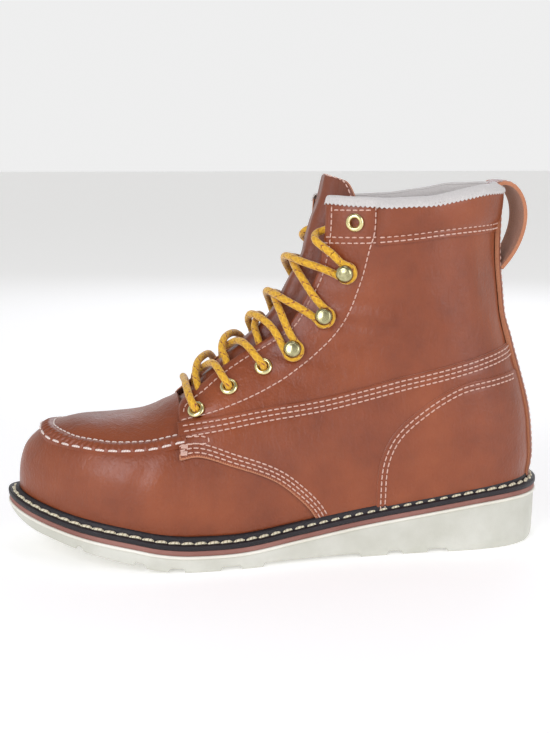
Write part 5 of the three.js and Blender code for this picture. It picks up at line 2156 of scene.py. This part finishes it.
def side_row(line, sign, lift):
    """Stitches along a line of the side view."""
    line = even_points(line, 0.8)
    x, z = line.T
    points, outs = on_side(x, z, sign, lift(x, z) + THREAD_SEAT - 0.5 * CHANNEL_DEEP)
    return stitch_row(points, outs, **FINE_STITCH)


COLLAR_FRONT_ROWS = [
    np.array([(24.0, 177.0), (COLLAR_FRONT + 1.5, 177.6)]),
    np.array([(23.0, 173.8), (COLLAR_FRONT + 1.5, 174.6)]),
    np.array([(28.0, 191.6), (46.4, 192.0)]),
]
BAR_TACK = [np.array([(x, 61.8), (x + 0.9, 68.2)]) for x in (-57.9, -57.2, -56.5, -55.8, -55.1)]
STITCH_LOOP = curve_through([
    (-54.5, 70.9), (-50, 71.3), (-45, 71.3), (-42.6, 70.0), (-43.8, 68.5), (-50, 67.9), (-54.5, 67.5),
])

for side, sign in SIDES.items():
    rows = [side_row(line, sign, quarter_lift) for line in QUARTER_ROWS + BAR_TACK + [STITCH_LOOP]]
    rows += [side_row(line, sign, counter_lift) for line in COUNTER_ROWS]
    rows += [side_row(line, sign, shaft_lift) for line in FACING_ROWS + COLLAR_FRONT_ROWS]
    rows += [side_row(line, sign, collar_lift) for line in BAND_ROWS]
    sew(f"panel_stitches_{side}", rows, PANEL_THREAD)


# %% Stitches up the heel, round the loop and on the tongue's edge
def heel_rows():
    rows = []
    z = np.arange(float(rim(130.0)) + 6.0, 191.0, 1.0)
    for y in (-0.86, -0.72, 0.72, 0.86):
        y = y * BACK_HALF * (1 + widening(z))
        points = on_heel(y, z, backstay_lift(z) - 0.12)
        outs = on_heel(y, z, backstay_lift(z) + 1) - points
        rows.append(stitch_row(points, outs, **FINE_STITCH))
    path = even_points(LOOP_PATH, 0.8)[4:-4]
    slope = unit(np.gradient(path, axis=0))
    outs = np.column_stack([slope[:, 1], np.zeros(len(path)), -slope[:, 0]])
    for y in (-0.82, 0.82):
        points = np.column_stack([path[:, 0], np.full(len(path), y * LOOP_WIDE / 2), path[:, 1]])
        points += outs * LOOP_THICK / 2
        rows.append(stitch_row(points, outs, **FINE_STITCH))
    return rows


def tongue_rows():
    rows = []
    path = even_points(TONGUE_EDGE, 1.0)
    path = path[path[:, 1] > 96.0]
    turn, edge = spot(path[:, 0], path[:, 1])
    for sign in SIDES.values():
        around = sign * edge * TONGUE_SEWN_AT
        lift = tongue_lift(skin(turn, around), TONGUE_LIFT)
        points, outs = seat(turn, around, lift - 0.1)
        rows.append(stitch_row(points, outs, **FINE_STITCH))
    return rows


sew("heel_stitches", heel_rows(), PANEL_THREAD)
sew("tongue_stitches", tongue_rows(), PANEL_THREAD)


# %% [markdown]
# ### Hand stitching round the toe, and the rope stitch on the welt
#
# The moc seam is sewn with thick waxed thread: a long stitch lies in the groove on its outer side and a
# finer one shows on the plug. The welt carries a heavy two-ply lockstitch that looks like a small rope.

# %% Heavy stitches
MOC_STITCHES = (
    {"across": 0.1, "lift": 2.15, "pitch": MOC_PITCH, "length": 5.4, "thick": 1.25},
    {"across": 1.06, "lift": 0.4, "pitch": MOC_PITCH / 2, "length": 3.0, "thick": 0.85},
)
ROPE_PITCH = 7.0
ROPE_STITCH = 7.3
ROPE_THICK = 2.0
ROPE_INSET = 3.3
ROPE_SLANT = 0.23


def moc_rows():
    rows = []
    for kind in MOC_STITCHES:
        points, outs = seat(*moc_line(kind["across"], moc_places), kind["lift"])
        rows.append(stitch_row(points, outs, kind["pitch"], kind["length"], kind["thick"]))
    return rows


def rope_rows():
    ring = sole_ring(ROPE_INSET, welt_top, 0.25)
    ring = np.vstack([ring, ring[:1]])
    outs = np.tile([0.0, 0.0, 1.0], (len(ring), 1))
    return [stitch_row(ring, outs, ROPE_PITCH, ROPE_STITCH, ROPE_THICK, slant=ROPE_SLANT)]


sew("moc_hand_stitches", moc_rows(), MOC_THREAD)
sew("welt_rope_stitches", rope_rows(), ROPE_THREAD)


# %% [markdown]
# ## Sizes, and the end
#
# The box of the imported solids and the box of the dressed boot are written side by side, so that they can be
# compared.

# %% Both boxes, and the finish
visual_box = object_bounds()
for label, (low, high) in (("solids", cad_box), ("dressed", visual_box)):
    print(label, [round(value / MM, 1) for value in (*low, *high)])
